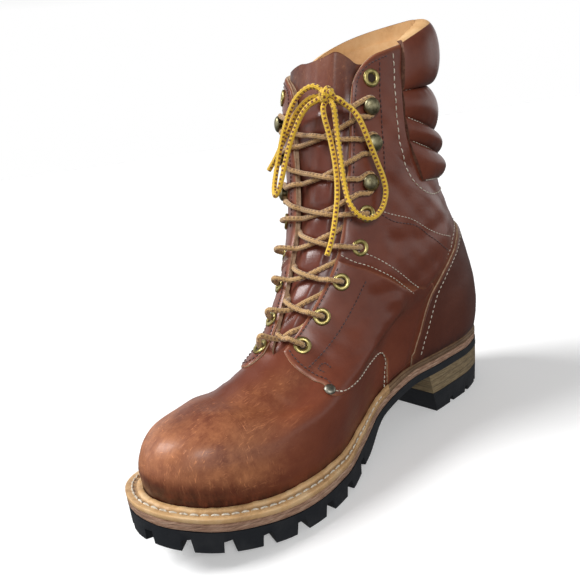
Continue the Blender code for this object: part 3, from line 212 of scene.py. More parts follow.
def through(xs, ys, x):
    """A curve through points that doesn't overshoot them."""
    xs, ys = np.asarray(xs, float), np.asarray(ys, float)
    step, rise = np.diff(xs), np.diff(ys) / np.diff(xs)
    lean = np.zeros(len(xs))
    lean[0], lean[-1] = rise[0], rise[-1]
    for i in range(1, len(xs) - 1):
        if rise[i - 1] * rise[i] > 0:
            before, after = 2 * step[i] + step[i - 1], step[i] + 2 * step[i - 1]
            lean[i] = (before + after) / (before / rise[i - 1] + after / rise[i])
    x = np.clip(np.asarray(x, float), xs[0], xs[-1])
    i = np.clip(np.searchsorted(xs, x) - 1, 0, len(xs) - 2)
    h = step[i]
    t = (x - xs[i]) / h
    return ((1 + 2 * t) * (1 - t) ** 2 * ys[i] + t * (1 - t) ** 2 * h * lean[i]
            + t * t * (3 - 2 * t) * ys[i + 1] + t * t * (t - 1) * h * lean[i + 1])


def column(table, number, x):
    """A table's column at x, where its first column holds x."""
    return through([row[0] for row in table], [row[number] for row in table], x)


def share_along(y):
    return (HEEL_BACK - np.asarray(y, float)) / LENGTH


def y_at(share):
    return HEEL_BACK - np.asarray(share, float) * LENGTH


def seat(y):
    """Height of the rubber sole's upper face."""
    s = share_along(y)
    spring = TOE_SPRING * np.clip((s - 0.754) / 0.246, 0, 1) ** 1.7
    return RUBBER + spring + (HEEL_HEIGHT - RUBBER) * smooth(0.640, 0.305, s)


def rubber_depth(y):
    return BASE + (RUBBER - BASE) * smooth(0.440, 0.530, share_along(y))


def feather(y):
    """Height at which the leather meets the welt."""
    return seat(y) + GAP + MIDSOLE + SEAT_GAP + WELT + GAP


def ring_value(up, number):
    return through(np.linspace(0, 1, len(RINGS)), [row[number] for row in RINGS], up)


def floats(*values):
    return np.broadcast_arrays(*(np.asarray(value, float) for value in values))


def ring(around, up):
    """The plain form: a point of the leather's outer face at each share round and up."""
    around, up = floats(around, up)
    front, front_up, back, back_up, medial_half, lateral_half, plan, bulge, tip, shift, fall = (
        ring_value(up, number) for number in range(11))
    front, back = y_at(front), y_at(back)
    front_up, back_up = front_up * UPPER_HEIGHT, back_up * UPPER_HEIGHT
    medial = np.cos(2 * pi * (around - 0.25)) >= 0
    half = np.where(medial, medial_half, lateral_half) * BALL_WIDTH
    along = (1 - np.cos(2 * pi * around)) / 2
    point = np.where(along < 0.5, BACK_POINT, tip)
    oval = (1 - np.abs(2 * along - 1) ** point).clip(0) ** (1 / point)
    edge = np.where(medial, column(OUTLINE, 1, along), column(OUTLINE, 2, along)) * BALL_WIDTH
    inset = 0.915 - 0.105 * smooth(0.32, 0.62, along)
    x = (1 - plan) * half * oval + plan * edge * inset * bulge
    x = np.where(medial, x, -x) + shift * BALL_WIDTH * smooth(0.3, 1.0, along)
    y = back + (front - back) * along
    low = feather(y) + front_up * along + back_up * (1 - along)
    level = (feather(front) + front_up) * along + (feather(back) + back_up) * (1 - along)
    blend = smooth(0.0, 0.5, up)
    flank = np.where(medial, 0.8, 1.0) * smooth(0.3, 0.7, along) * smooth(1.0, 0.82, along)
    z = (1 - blend) * low + blend * level - fall * BALL_WIDTH * flank
    return np.stack([x, y, z], -1)


def skin(around, up, out):
    """Points a distance outside the plain form."""
    around, up, out = floats(around, up, out)
    step = 0.004
    low, high = np.clip(up - step, 0, 1), np.clip(up + step, 0, 1)
    across = ring((around + step) % 1, up) - ring((around - step) % 1, up)
    rise = ring(around, high) - ring(around, low)
    normal = np.cross(rise, across)
    normal /= np.linalg.norm(normal, axis=-1, keepdims=True)
    return ring(around % 1, np.clip(up, 0, 1)) + normal * out[..., None]


def medial_edge(up):
    return column(THROAT, 1, up)


def lateral_edge(up):
    return column(THROAT, 2, up)


def mirrored(around, up):
    """The lateral share round that answers to a medial one."""
    around, up = np.asarray(around, float), np.asarray(up, float)
    level = np.maximum(up, THROAT_BASE + 0.07)
    gap = medial_edge(level) - around
    by_facing = lateral_edge(level) + gap * (1 - lateral_edge(level)) / medial_edge(level)
    low = smooth(0.50, 0.38, up) * smooth(0.0, 0.08, gap)
    return by_facing + (1 - around - by_facing) * low


def corner_share(around, up):
    """Rounds off the upper's top corners beside the throat."""
    low, high = medial_edge(1.0), lateral_edge(1.0)
    near = np.where(around < 0.5, low - around, around - high)
    bend = np.clip(1 - near / CORNER_ROUND, 0, 1)
    drop = CORNER_DROP * (1 - np.sqrt(1 - bend ** 2))
    return np.where(up > 0.85, 0.85 + (up - 0.85) * (0.15 - drop) / 0.15, up)


def pad_front(up):
    """Share round at which the padded rolls end."""
    return through([0.0, 0.40, 0.56, 0.66, 0.735, 0.79, 0.838, 0.888, 1.0],
                   [0.200, 0.205, 0.185, 0.190, 0.215, 0.235, 0.246, 0.250, 0.252], up)


# ---------------------------------------------------------------- soft relief of worn leather
# Each crease: where it starts and ends as (round, up), its depth (a ridge is negative) and its half width
CREASES = (
    # the break behind the hard toe, a broad trough with four finer ones
    ((0.300, 0.300), (0.415, 0.352), 0.0011, 0.0060),
    ((0.415, 0.352), (0.520, 0.385), 0.0012, 0.0065),
    ((0.520, 0.385), (0.640, 0.330), 0.0012, 0.0060),
    ((0.395, 0.372), (0.450, 0.405), 0.0007, 0.0028),
    ((0.372, 0.340), (0.402, 0.372), 0.0008, 0.0026),
    ((0.350, 0.318), (0.380, 0.334), 0.0007, 0.0024),
    ((0.560, 0.400), (0.640, 0.370), 0.0008, 0.0030),
    # ridge of the hard toe's back edge
    ((0.330, 0.262), (0.430, 0.312), -0.0008, 0.0060),
    ((0.430, 0.312), (0.540, 0.330), -0.0008, 0.0060),
    ((0.540, 0.330), (0.650, 0.285), -0.0008, 0.0060),
    # folds of the ankle, on both sides
    ((0.330, 0.560), (0.250, 0.500), 0.0012, 0.0060),
    ((0.250, 0.500), (0.160, 0.455), 0.0010, 0.0070),
    ((0.300, 0.500), (0.235, 0.420), 0.0009, 0.0055),
    ((0.310, 0.645), (0.230, 0.590), 0.0011, 0.0060),
    ((0.230, 0.590), (0.140, 0.560), 0.0010, 0.0060),
    ((0.335, 0.700), (0.290, 0.560), -0.0012, 0.0065),
    ((0.290, 0.560), (0.225, 0.330), -0.0010, 0.0075),
    ((0.270, 0.300), (0.230, 0.400), 0.0010, 0.0060),
    ((0.600, 0.560), (0.700, 0.490), 0.0012, 0.0060),
    ((0.620, 0.650), (0.730, 0.580), 0.0012, 0.0060),
    ((0.640, 0.480), (0.760, 0.400), 0.0010, 0.0070),
    ((0.600, 0.700), (0.690, 0.540), -0.0012, 0.0070),
    ((0.060, 0.560), (-0.060, 0.560), 0.0012, 0.0060),
    ((0.080, 0.600), (-0.080, 0.600), -0.0008, 0.0050),
    # waves of the leg panel
    ((0.330, 0.860), (0.285, 0.800), 0.0006, 0.0060),
    ((0.320, 0.760), (0.262, 0.700), 0.0007, 0.0060),
)


def crease_line(start, end):
    t = np.linspace(0, 1, 9)
    return skin((start[0] + (end[0] - start[0]) * t) % 1, start[1] + (end[1] - start[1]) * t, 0.0)


CREASE_LINES = [(crease_line(start, end), depth, half) for start, end, depth, half in CREASES]


def relief(up, points):
    """How far the worn leather stands out of the plain form at points of it."""
    flat = points.reshape(-1, 3)
    total = np.zeros(len(flat))
    for line, depth, half in CREASE_LINES:
        low, high = line.min(0) - 3 * half, line.max(0) + 3 * half
        near = np.nonzero(((flat > low) & (flat < high)).all(1))[0]
        if not len(near):
            continue
        spots = flat[near]
        best, share = np.full(len(near), 9.0), np.zeros(len(near))
        for k in range(len(line) - 1):
            step = line[k + 1] - line[k]
            t = np.clip((spots - line[k]) @ step / (step @ step), 0, 1)
            far = np.linalg.norm(spots - line[k] - t[:, None] * step, axis=1)
            closer = far < best
            best[closer] = far[closer]
            share[closer] = (k + t[closer]) / (len(line) - 1)
        fade = 0.35 + 0.65 * np.sin(pi * np.clip(share, 0.02, 0.98)) ** 0.7
        total[near] -= depth * fade * np.exp(-(best / half) ** 2)
    x, y, z = flat.T
    wave = np.sin(z * 310 + y * 90) * np.sin(y * 230 + x * 160)
    level = np.broadcast_to(up, points.shape[:-1]).reshape(-1)
    total += 0.00022 * wave * smooth(0.2, 0.5, level)
    return total.reshape(points.shape[:-1])


def leather_at(around, up, out):
    """Points of the worn leather, a distance outside the form."""
    around, up, out = floats(around, up, out)
    away = skin(around, up, 0.001)
    base = ring(around % 1, np.clip(up, 0, 1))
    return base + (away - base) * 1000 * (out + relief(up, base))[..., None]


# ---------------------------------------------------------------- meshes
def put(name, corners, faces, materials, slot, kinds=None, smooth_angle=0.9):
    mesh = bpy.data.meshes.new(name)
    mesh.from_pydata(np.asarray(corners, float).tolist(), [], faces)
    for tone in materials:
        mesh.materials.append(tone)
    if kinds is not None:
        mesh.polygons.foreach_set("material_index", np.asarray(kinds, np.int32))
    mesh.update()
    mesh.shade_smooth()
    mesh.set_sharp_from_angle(angle=smooth_angle)
    made = bpy.data.objects.new(name, mesh)
    scene.collection.objects.link(made)
    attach(made, "root")
    return made


def mask(made, name, values, inner=None):
    """A number at each point. On a slab, inner is the share of it that the inner grid gets."""
    values = np.asarray(values, np.float32).ravel()
    if inner is not None:
        values = np.concatenate([values, values * inner])
    made.data.attributes.new(name, "FLOAT", "POINT").data.foreach_set("value", values)


def grid_faces(wide, tall):
    i, j = np.meshgrid(np.arange(wide - 1), np.arange(tall - 1), indexing="ij")
    return (i * tall + j).reshape(-1, 1) + np.array([0, tall, tall + 1, 1])


def slab(name, outer, inner, materials, slot):
    """A sheet of leather between two grids: outer, inner and rim faces each with its own material."""
    wide, tall = outer.shape[:2]
    size, top, last = wide * tall, tall - 1, (wide - 1) * tall
    front = grid_faces(wide, tall)
    i, j = np.arange(wide - 1) * tall, np.arange(tall - 1)
    rims = ((i + tall, i), (i + top, i + tall + top), (j, j + 1), (last + j + 1, last + j))
    edge = np.concatenate([np.stack([a, b, size + b, size + a], -1) for a, b in rims])
    corners = np.concatenate([outer.reshape(-1, 3), inner.reshape(-1, 3)])
    faces = np.concatenate([front, front[:, ::-1] + size, edge]).tolist()
    kinds = [0] * len(front) + [1] * len(front) + [2] * len(edge)
    return turn_out(put(name, corners, faces, materials, slot, kinds))


def rework(mesh, change):
    """Opens a mesh for one change and writes it back."""
    shape = bmesh.new()
    shape.from_mesh(mesh)
    change(shape)
    shape.to_mesh(mesh)
    shape.free()


def turn_out(made):
    """Turns a piece's faces to the outside and returns the piece."""
    rework(made.data, lambda shape: bmesh.ops.recalc_face_normals(shape, faces=shape.faces))
    return made


def soften(made, width, angle):
    change = made.modifiers.new("Bevel", "BEVEL")
    change.width, change.segments = width, 2
    change.limit_method, change.angle_limit = "ANGLE", angle


def run_of(points):
    """The distance along a line at each of its points."""
    return np.concatenate([[0], np.cumsum(np.linalg.norm(np.diff(points, axis=0), axis=1))])


def unit(vectors):
    return vectors / np.maximum(np.linalg.norm(vectors, axis=-1, keepdims=True), 1e-9)


def line_through(points, count):
    """A smooth line of even points through shares."""
    points = np.asarray(points, float)
    far = run_of(points)
    want = np.linspace(0, far[-1], count)
    return np.stack([through(far, points[:, 0], want), through(far, points[:, 1], want)], 1)


def even(points, step):
    """Even points along a dense line."""
    far = run_of(points)
    want = np.linspace(0, far[-1], max(int(round(far[-1] / step)), 2) + 1)
    return np.stack([np.interp(want, far, points[:, k]) for k in range(points.shape[1])], 1)


def curve_through(points):
    """A smooth curve through a route's own points."""
    p = np.asarray(points, float)
    ends = np.concatenate([[2 * p[0] - p[1]], p, [2 * p[-1] - p[-2]]])
    out = []
    for a, b, c, d in zip(ends, ends[1:], ends[2:], ends[3:]):
        for t in np.arange(10) / 10:
            out.append(0.5 * (2 * b + (c - a) * t + (2 * a - 5 * b + 4 * c - d) * t * t
                              + (3 * b - a - 3 * c + d) * t ** 3))
    return np.array(out + [p[-1]])


# ---------------------------------------------------------------- materials
def paint(name, roughness, metallic=0.0, specular=0.5, coat=0.0, coat_roughness=0.3, sheen=0.0):
    """A new material and the calls that add its nodes. What is the same all over stands on the shader."""
    made = bpy.data.materials.new(name)
    made.use_nodes = True
    inputs = made.node_tree.nodes["Principled BSDF"].inputs
    for key, value in (("Roughness", roughness), ("Metallic", metallic), ("Specular IOR Level", specular),
                       ("Coat Weight", coat), ("Coat Roughness", coat_roughness), ("Sheen Weight", sheen)):
        inputs[key].default_value = value
    return made, Nodes(made.node_tree)


def shade(colour, by):
    return tuple(min(c * by, 1) for c in colour)


def between(first, second):
    return tuple((a + b) / 2 for a, b in zip(first, second))


class Nodes:
    """Short calls that add one shader node each and return its output."""

    def __init__(self, tree):
        self.tree = tree
        self.place = self.add("TexCoord", {}).outputs["Object"]

    def add(self, kind, inputs, **settings):
        """A new node; each input is a number, a vector, a colour or another node's output."""
        made = self.tree.nodes.new("ShaderNode" + kind)
        for key, value in settings.items():
            setattr(made, key, value)
        for key, value in inputs.items():
            if isinstance(value, bpy.types.NodeSocket):
                self.tree.links.new(value, made.inputs[key])
            elif value is not None:
                made.inputs[key].default_value = value
        return made

    def noise(self, scale, detail=4.0, rough=0.55, turn=(0, 0, 0)):
        """Noise. One scale for each axis stretches it, after a turn."""
        place = self.place
        if isinstance(scale, tuple):
            place = self.add("Mapping", {"Scale": scale, "Rotation": turn, "Vector": place}).outputs["Vector"]
            scale = 1.0
        inputs = {"Scale": scale, "Detail": detail, "Roughness": rough, "Vector": place}
        return self.add("TexNoise", inputs).outputs["Fac"]

    def patches(self, low, high, scale, detail, rough, turn=(0, 0, 0)):
        """Patches of noise: none below low, full above high."""
        return self.ramp(self.noise(scale, detail, rough, turn), (low, 0.0), (high, 1.0))

    def cells(self, scale):
        inputs = {"Scale": scale, "Vector": self.place}
        return self.add("TexVoronoi", inputs, feature="DISTANCE_TO_EDGE").outputs["Distance"]

    def ramp(self, value, *stops):
        made = self.add("ValToRGB", {"Fac": value})
        bar = made.color_ramp
        while len(bar.elements) < len(stops):
            bar.elements.new(0.5)
        for element, (place, colour) in zip(bar.elements, stops):
            element.position = place
            element.color = (*colour, 1) if isinstance(colour, tuple) else (colour, colour, colour, 1)
        return made.outputs["Color"]

    def mix(self, share, first, second):
        first, second = ((*value, 1) if isinstance(value, tuple) else value for value in (first, second))
        return self.add("Mix", {0: share, 6: first, 7: second}, data_type="RGBA").outputs[2]

    def math(self, how, first, second=None):
        return self.add("Math", {0: first, 1: second}, operation=how).outputs[0]

    def times(self, first, second):
        return self.math("MULTIPLY", first, second)

    def plus(self, first, second):
        return self.math("ADD", first, second)

    def capped(self, value, most=1.0):
        return self.math("MINIMUM", value, most)

    def mask(self, name):
        return self.add("Attribute", {}, attribute_name=name).outputs["Fac"]

    def bump(self, height, strength, distance, normal=None):
        inputs = {"Strength": strength, "Distance": distance, "Height": height, "Normal": normal}
        return self.add("Bump", inputs).outputs["Normal"]

    def finish(self, colour, normal, rough=None):
        shader = self.tree.nodes["Principled BSDF"]
        for key, value in (("Base Color", colour), ("Normal", normal), ("Roughness", rough)):
            if value:
                self.tree.links.new(value, shader.inputs[key])


SCRATCHES = (((1700, 120, 150), (0.1, 0.1, 0.95)), ((150, 1500, 170), (0.3, 0.2, -0.15)),
             ((1300, 160, 420), (0.6, 0.5, 0.30)), ((170, 190, 1500), (0.5, 0.1, 0.2)))


def leather_paint(name, deep, base, light, worn, gloss=0.38):
    """Oiled leather: cloudy colour, rubbed and scratched where scuff is high, darker where the dirt_and_shade
    mask is: grime, and painted shade in grooves, under the facings and by the welt.
    """
    made, n = paint(name, gloss, specular=0.36, coat=0.16, coat_roughness=0.22)
    colour = n.ramp(n.noise(15, 4, 0.55), (0.30, between(deep, base)), (0.52, base), (0.78, light))
    colour = n.mix(n.times(n.patches(0.35, 0.80, 210, 5, 0.7), 0.35), colour, light)
    scuff, dirt_and_shade, pale = n.mask("scuff"), n.mask("dirt_and_shade"), n.mask("pale")
    rubbed = n.times(n.patches(0.38, 0.60, 38, 6, 0.66), 0.55)
    rubbed = n.plus(rubbed, n.times(n.patches(0.42, 0.60, (190, 150, 110), 7, 0.75, (0.2, 0.2, 0.6)), 0.35))
    rubbed = n.plus(rubbed, n.times(n.patches(0.44, 0.62, (620, 120, 150), 5, 0.7, (0.3, 0.1, 0.75)), 0.25))
    rubbed = n.plus(n.times(rubbed, scuff), n.times(n.times(scuff, scuff), 0.22))
    colour = n.mix(n.capped(rubbed), colour, worn)
    bare = n.patches(0.52, 0.66, (52, 60, 85), 8, 0.72, (0.4, 0.2, 0.5))
    bare = n.times(bare, n.capped(n.times(scuff, 1.2)))
    colour = n.mix(n.times(bare, 0.55), colour, shade(worn, 1.25))
    marks = None
    for number, (scale, turn) in enumerate(SCRATCHES):
        lines = n.patches(0.59, 0.69, scale, 4, 0.6, turn)
        lines = n.times(lines, n.patches(0.52, 0.59, (42 + 9 * number, 47, 40), 4, 0.6, turn))
        marks = n.math("MAXIMUM", marks, lines) if marks else lines
    marks = n.times(marks, n.capped(n.times(scuff, 2.2)))
    colour = n.mix(n.times(marks, 0.70), colour, shade(worn, 1.55))
    colour = n.mix(n.times(pale, 0.7), colour, between(worn, light))
    stain = n.patches(0.36, 0.60, (170, 170, 60), 6, 0.7)
    # darkening by the dirt_and_shade mask: grime in some places, painted shade in grooves, under the facings
    # and by the welt in others
    grime_and_shade = n.times(dirt_and_shade, n.plus(n.times(stain, 0.85), 0.30))
    colour = n.mix(n.capped(grime_and_shade, 0.9), colour, shade(deep, 0.6))
    rough = n.plus(n.times(n.noise(60, 4, 0.6), 0.24), gloss - 0.12)
    rough = n.plus(rough, n.times(scuff, 0.14))
    pores = n.bump(n.cells(1500), 0.10, 0.00018)
    grain = n.bump(n.noise(650, 5, 0.6), 0.24, 0.0003, pores)
    folds = n.bump(n.noise((110, 110, 260), 5, 0.6), 0.20, 0.0010, grain)
    n.finish(colour, n.bump(marks, 0.30, 0.0003, folds), rough)
    return made


def plain_leather(name, deep, base, light, roughness=0.65, scale=60, bump=0.35):
    made, n = paint(name, roughness)
    colour = n.ramp(n.noise(scale, 5, 0.65), (0.30, deep), (0.50, base), (0.72, light))
    colour = n.mix(n.times(n.patches(0.40, 0.70, 700, 4, 0.7), 0.35), colour, light)
    # darker where the dirt_and_shade mask is: grime, and painted shade where the mask stands for it
    colour = n.mix(n.times(n.mask("dirt_and_shade"), 0.75), colour, shade(deep, 0.6))
    n.finish(colour, n.bump(n.noise(520, 5, 0.7), bump, 0.0005))
    return made


def layered_paint(name, deep, base, light, pitch):
    """Cut edges of stacked leather, with a fine dark line between layers."""
    made, n = paint(name, 0.62)
    colour = n.ramp(n.noise((120, 120, 900), 6, 0.7), (0.30, deep), (0.50, base), (0.72, light))
    line = n.math("PINGPONG", n.mask("level"), pitch / 2)
    line = n.ramp(n.math("DIVIDE", line, pitch / 2), (0.0, 1.0), (0.14, 0.0))
    colour = n.mix(n.times(line, 0.75), colour, shade(deep, 0.45))
    height = n.math("SUBTRACT", n.noise((160, 160, 1300), 5, 0.7), line)
    n.finish(colour, n.bump(height, 0.5, 0.0006))
    return made


def rubber_paint():
    made, n = paint("worn_rubber", 0.62, specular=0.4)
    dust = n.times(n.patches(0.42, 0.75, 55, 6, 0.65), 0.30)
    colour = n.mix(dust, (0.012, 0.014, 0.018), (0.060, 0.060, 0.062))
    rough = n.plus(n.times(n.noise(120, 4, 0.6), 0.35), 0.38)
    n.finish(colour, n.bump(n.noise(420, 5, 0.65), 0.30, 0.0004), rough)
    return made


def metal_paint(name, dark, bright, roughness):
    made, n = paint(name, roughness, metallic=1.0)
    colour = n.ramp(n.noise(260, 5, 0.65), (0.34, dark), (0.62, bright))
    rough = n.plus(n.times(n.noise(400, 4, 0.6), 0.35), roughness - 0.12)
    n.finish(colour, n.bump(n.noise(900, 4, 0.6), 0.18, 0.0002), rough)
    return made


def thread_paint(name, deep, base):
    made, n = paint(name, 0.75, sheen=0.3)
    colour = n.ramp(n.noise(500, 3, 0.6), (0.32, deep), (0.60, base))
    n.finish(colour, n.bump(n.noise(1800, 3, 0.6), 0.4, 0.0002))
    return made


def lace_paint(name, main, dark, fleck, amount):
    """A round braid: diagonal strands, with darker flecks in rows along the lace."""
    made, n = paint(name, 0.72, sheen=0.35)
    spot = n.add("SeparateXYZ", {0: n.add("UVMap", {}).outputs["UV"]})
    turn, run = spot.outputs[0], spot.outputs[1]
    turns, runs = n.times(turn, float(STRANDS)), n.times(run, float(WEAVE))
    one = n.math("SINE", n.times(n.plus(turns, runs), 2 * pi))
    two = n.math("SINE", n.times(n.math("SUBTRACT", turns, runs), 2 * pi))
    braid = n.times(one, two)
    # darker where the braid is low: painted shade between the strands
    colour = n.ramp(n.plus(n.times(braid, 0.5), 0.5), (0.12, dark), (0.50, main))
    row = n.ramp(n.math("COSINE", n.times(turn, 6 * pi)), (0.0, 0.0), (0.22, 1.0))
    dash = n.ramp(n.math("SINE", n.times(run, 2 * pi * FLECKS)), (0.0, 0.0), (0.12, 1.0))
    colour = n.mix(n.times(n.times(row, dash), amount), colour, fleck)
    colour = n.mix(n.times(n.patches(0.40, 0.72, 140, 4, 0.6), 0.25), colour, dark)
    n.finish(colour, n.bump(braid, 0.55, 0.0004))
    return made


RED = leather_paint("worn_red_leather", (0.064, 0.013, 0.007), (0.148, 0.033, 0.015), (0.215, 0.055, 0.026),
                    (0.500, 0.195, 0.082))
TONGUE_PAINT = leather_paint("tongue_leather", (0.060, 0.014, 0.010), (0.140, 0.034, 0.020),
                             (0.205, 0.058, 0.034), (0.45, 0.20, 0.10), 0.34)
# A darker copy of the red leather for the heel counter: painted shade on the back of the boot.
SHADED_COUNTER_RED = leather_paint("counter_leather_painted_shade", (0.040, 0.009, 0.006), (0.092, 0.022, 0.011), (0.140, 0.037, 0.019),
                         (0.36, 0.14, 0.065))
RAW = plain_leather("raw_edge", (0.22, 0.125, 0.075), (0.46, 0.30, 0.185), (0.66, 0.49, 0.33), 0.8, 260, 0.5)
EDGE_DARK = plain_leather("dark_edge", (0.075, 0.028, 0.018), (0.15, 0.06, 0.038), (0.28, 0.14, 0.08), 0.7,
                          300, 0.4)
LINING = plain_leather("tan_lining", (0.52, 0.27, 0.10), (0.70, 0.40, 0.17), (0.80, 0.52, 0.26), 0.6, 40, 0.2)
WELT_PAINT = plain_leather("welt_leather", (0.44, 0.24, 0.10), (0.72, 0.44, 0.20), (0.84, 0.60, 0.34), 0.5,
                           60, 0.2)
MID_PAINT = layered_paint("midsole_edge", (0.17, 0.085, 0.050), (0.38, 0.22, 0.145), (0.62, 0.43, 0.31),
                          0.0023)
STACK_PAINT = layered_paint("stack_edge", (0.12, 0.080, 0.040), (0.235, 0.170, 0.090), (0.36, 0.28, 0.16),
                            0.0056)
RAND_PAINT = plain_leather("rand_leather", (0.12, 0.065, 0.032), (0.25, 0.145, 0.075), (0.38, 0.24, 0.13),
                           0.55, 90, 0.3)
RUBBER_PAINT = rubber_paint()
BRASS = metal_paint("aged_brass", (0.22, 0.17, 0.055), (0.58, 0.49, 0.20), 0.30)
BRONZE = metal_paint("aged_bronze", (0.10, 0.085, 0.045), (0.36, 0.33, 0.20), 0.36)
STEEL = metal_paint("worn_steel", (0.12, 0.115, 0.09), (0.42, 0.40, 0.33), 0.38)
WHITE_THREAD = thread_paint("pale_thread", (0.42, 0.34, 0.24), (0.80, 0.74, 0.62))
DARK_THREAD = thread_paint("dark_thread", (0.028, 0.009, 0.009), (0.075, 0.026, 0.024))
LACE_BRIGHT = lace_paint("bright_lace", (0.95, 0.62, 0.040), (0.72, 0.40, 0.020), (0.16, 0.032, 0.026), 1.0)
LACE_FADED = lace_paint("faded_lace", (0.66, 0.41, 0.17), (0.34, 0.18, 0.07), (0.16, 0.070, 0.035), 0.75)
# A near-black disc in each eyelet's hole: painted shade where the hole is.
HOLE_SHADE_DISC = plain_leather("shadow_hole", (0.02, 0.010, 0.007), (0.035, 0.018, 0.012), (0.05, 0.028, 0.018), 0.9)


# ---------------------------------------------------------------- upper
# Rubbed places besides the toe cap: strength, share round and up, half width and half height
RUBBED = ((0.30, 0.510, 0.200, 0.060, 0.080), (0.45, 0.385, 0.125, 0.030, 0.055),
          (0.30, 0.405, 0.250, 0.028, 0.045), (0.36, 0.445, 0.360, 0.050, 0.050),
          (0.26, 0.400, 0.425, 0.035, 0.035), (0.60, 0.600, 0.170, 0.050, 0.090))


def foot_masks(around, up):
    """Scuffs at the toe, and darkening along the welt and low round the toe, partly grime and partly painted
    shade, as shares.
    """
    cap = np.exp(-((around - 0.490) / 0.125) ** 4) * smooth(0.40, 0.24, up) * smooth(0.03, 0.12, up)
    scuff = 0.52 * cap
    for strength, at_round, at_up, wide, tall in RUBBED:
        scuff = scuff + strength * np.exp(-((around - at_round) / wide) ** 2 - ((up - at_up) / tall) ** 2)
    scuff = scuff + 0.30 * np.exp(-(np.minimum(around, 1 - around) / 0.07) ** 2 - ((up - 0.12) / 0.08) ** 2)
    low = np.exp(-((around - 0.47) / 0.10) ** 4) * smooth(0.125, 0.055, up)
    # dirt_and_shade: darker along the foot of the leather (painted shade in the corner at the welt, with
    # grime) and darker low round the toe
    dirt_and_shade = 0.80 * smooth(0.050, 0.0, up) + 0.62 * low + 0.10 * smooth(0.12, 0.03, up)
    return np.clip(scuff, 0, 1), dirt_and_shade


def make_upper():
    wide, below, above = 300, 65, 67
    tall = below + above
    ups = np.concatenate([np.linspace(0, THROAT_BASE, below + 1)[:-1], np.linspace(THROAT_BASE, 1, above)])
    start, end = lateral_edge(ups), medial_edge(ups) + 1
    rounds = (start[None] + (end - start)[None] * np.linspace(0, 1, wide)[:, None]) % 1
    heights = corner_share(rounds, np.broadcast_to(ups, rounds.shape))
    made = slab("upper_leather", leather_at(rounds, heights, 0.0), skin(rounds, heights, -WALL),
                [RED, LINING, RAW], "red_brown_leather")
    seam = int(np.argmin(np.abs(ups - THROAT_BASE)))

    def close_front(shape):
        # below the throat the first and last columns are one line, so their rim faces come out
        gone = [f for f in shape.faces if f.material_index == 2 and all(
            (v.index % (wide * tall)) // tall in (0, wide - 1) and (v.index % tall) <= seam for v in f.verts)]
        bmesh.ops.delete(shape, geom=gone, context="FACES_ONLY")

    rework(made.data, close_front)
    scuff, dirt_and_shade = foot_masks(rounds, heights)
    mask(made, "scuff", scuff, 0)
    # dirt_and_shade on the outer face: grime, and painted shade by the welt
    mask(made, "dirt_and_shade", dirt_and_shade, 0)
    rework(made.data, lambda shape: bmesh.ops.remove_doubles(shape, verts=shape.verts, dist=2e-6))
    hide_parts("upper")


def patch(name, around, up, thick, paints, quiet_back=False):
    """A panel of leather with a rounded, rubbed edge. With quiet_back its back edge has the face's colour."""
    wide, tall = around.shape
    i = np.minimum(np.arange(wide), np.arange(wide)[::-1])[:, None]
    j = np.minimum(np.arange(tall), np.arange(tall)[::-1])[None]
    near = np.minimum(i, j)
    drop = thick * np.array([0.45, 0.16, 0.04])[np.minimum(near, 2)] * (near < 3)
    around = around % 1
    made = slab(name, leather_at(around, up, ON_SKIN + thick - drop), leather_at(around, up, ON_SKIN), paints,
                "red_brown_leather")
    rub = (near < 1) * 1.0 + (near == 1) * 0.45 + (near == 2) * 0.12
    if quiet_back:
        rub[:3] = 0
        for face in made.data.polygons:
            if face.material_index == 2 and all(v % (wide * tall) < tall for v in face.vertices):
                face.material_index = 0
    scuff, dirt_and_shade = foot_masks(around, up)
    mask(made, "scuff", scuff * 0.7, 0)
    # dirt_and_shade on both faces: grime, and painted shade by the welt
    mask(made, "dirt_and_shade", dirt_and_shade, 1)
    mask(made, "pale", rub, 0)
    return made


def quarter_grid(lateral):
    front, top = line_through(QUARTER_FRONT, 150), line_through(QUARTER_TOP, 150)
    top = top + np.stack([top[:, 0] * 0, 0.008 * smooth(0.25, 0.5, top[:, 1])], 1)
    top[:, 0] = np.minimum(top[:, 0], medial_edge(top[:, 1]) - SET_BACK)
    # the back edge is tucked under the counter
    top[:, 0] -= 0.022 * smooth(0.46, 0.40, top[:, 1]) * smooth(0.250, 0.215, top[:, 0])
    t = np.linspace(0, 1, 90)[None, :, None]
    shares = front[:, None] * (1 - t) + top[:, None] * t
    around, up = shares[..., 0], shares[..., 1]
    edge = column([row[::-1] for row in COUNTER_EDGE[::-1]], 1, up)
    thick = QUARTER * (1 - 0.9 * smooth(0.012, 0.001, around - edge) * (up < 0.47))
    return (mirrored(around, up) if lateral else around), up, thick


def panel_back(up):
    """Back edge of the leg panel as a share round."""
    return through([0.30, 0.42, 0.50, 0.56, 0.62, 0.69, 0.73, 0.80, 0.86, 0.91, 1.0],
                   [0.190, 0.150, 0.122, 0.112, 0.130, 0.180, 0.222, 0.247, 0.253, 0.253, 0.251], up)


def panel_thick(around, up):
    """The leg panel thins out to nothing round the back, below the padded rolls."""
    full = smooth(0.74, 0.80, up)
    seam = column(QUARTER_TOP[:8][::-1], 1, around)
    cut = 0.50 + 0.50 * smooth(0.001, 0.016, up - seam)
    return SHAFT * np.maximum(full, smooth(0.0, 0.045, around - panel_back(up))) * cut


def coons(low, high, back, front):
    """A grid inside four edges: low and high run from back to front, back and front run from low to high."""
    s = np.linspace(0, 1, len(low))[:, None, None]
    t = np.linspace(0, 1, len(back))[None, :, None]
    sides = (1 - t) * low[:, None] + t * high[:, None] + (1 - s) * back[None] + s * front[None]
    lows, highs = (1 - s) * low[0] + s * low[-1], (1 - s) * high[0] + s * high[-1]
    return sides - (1 - t) * lows - t * highs


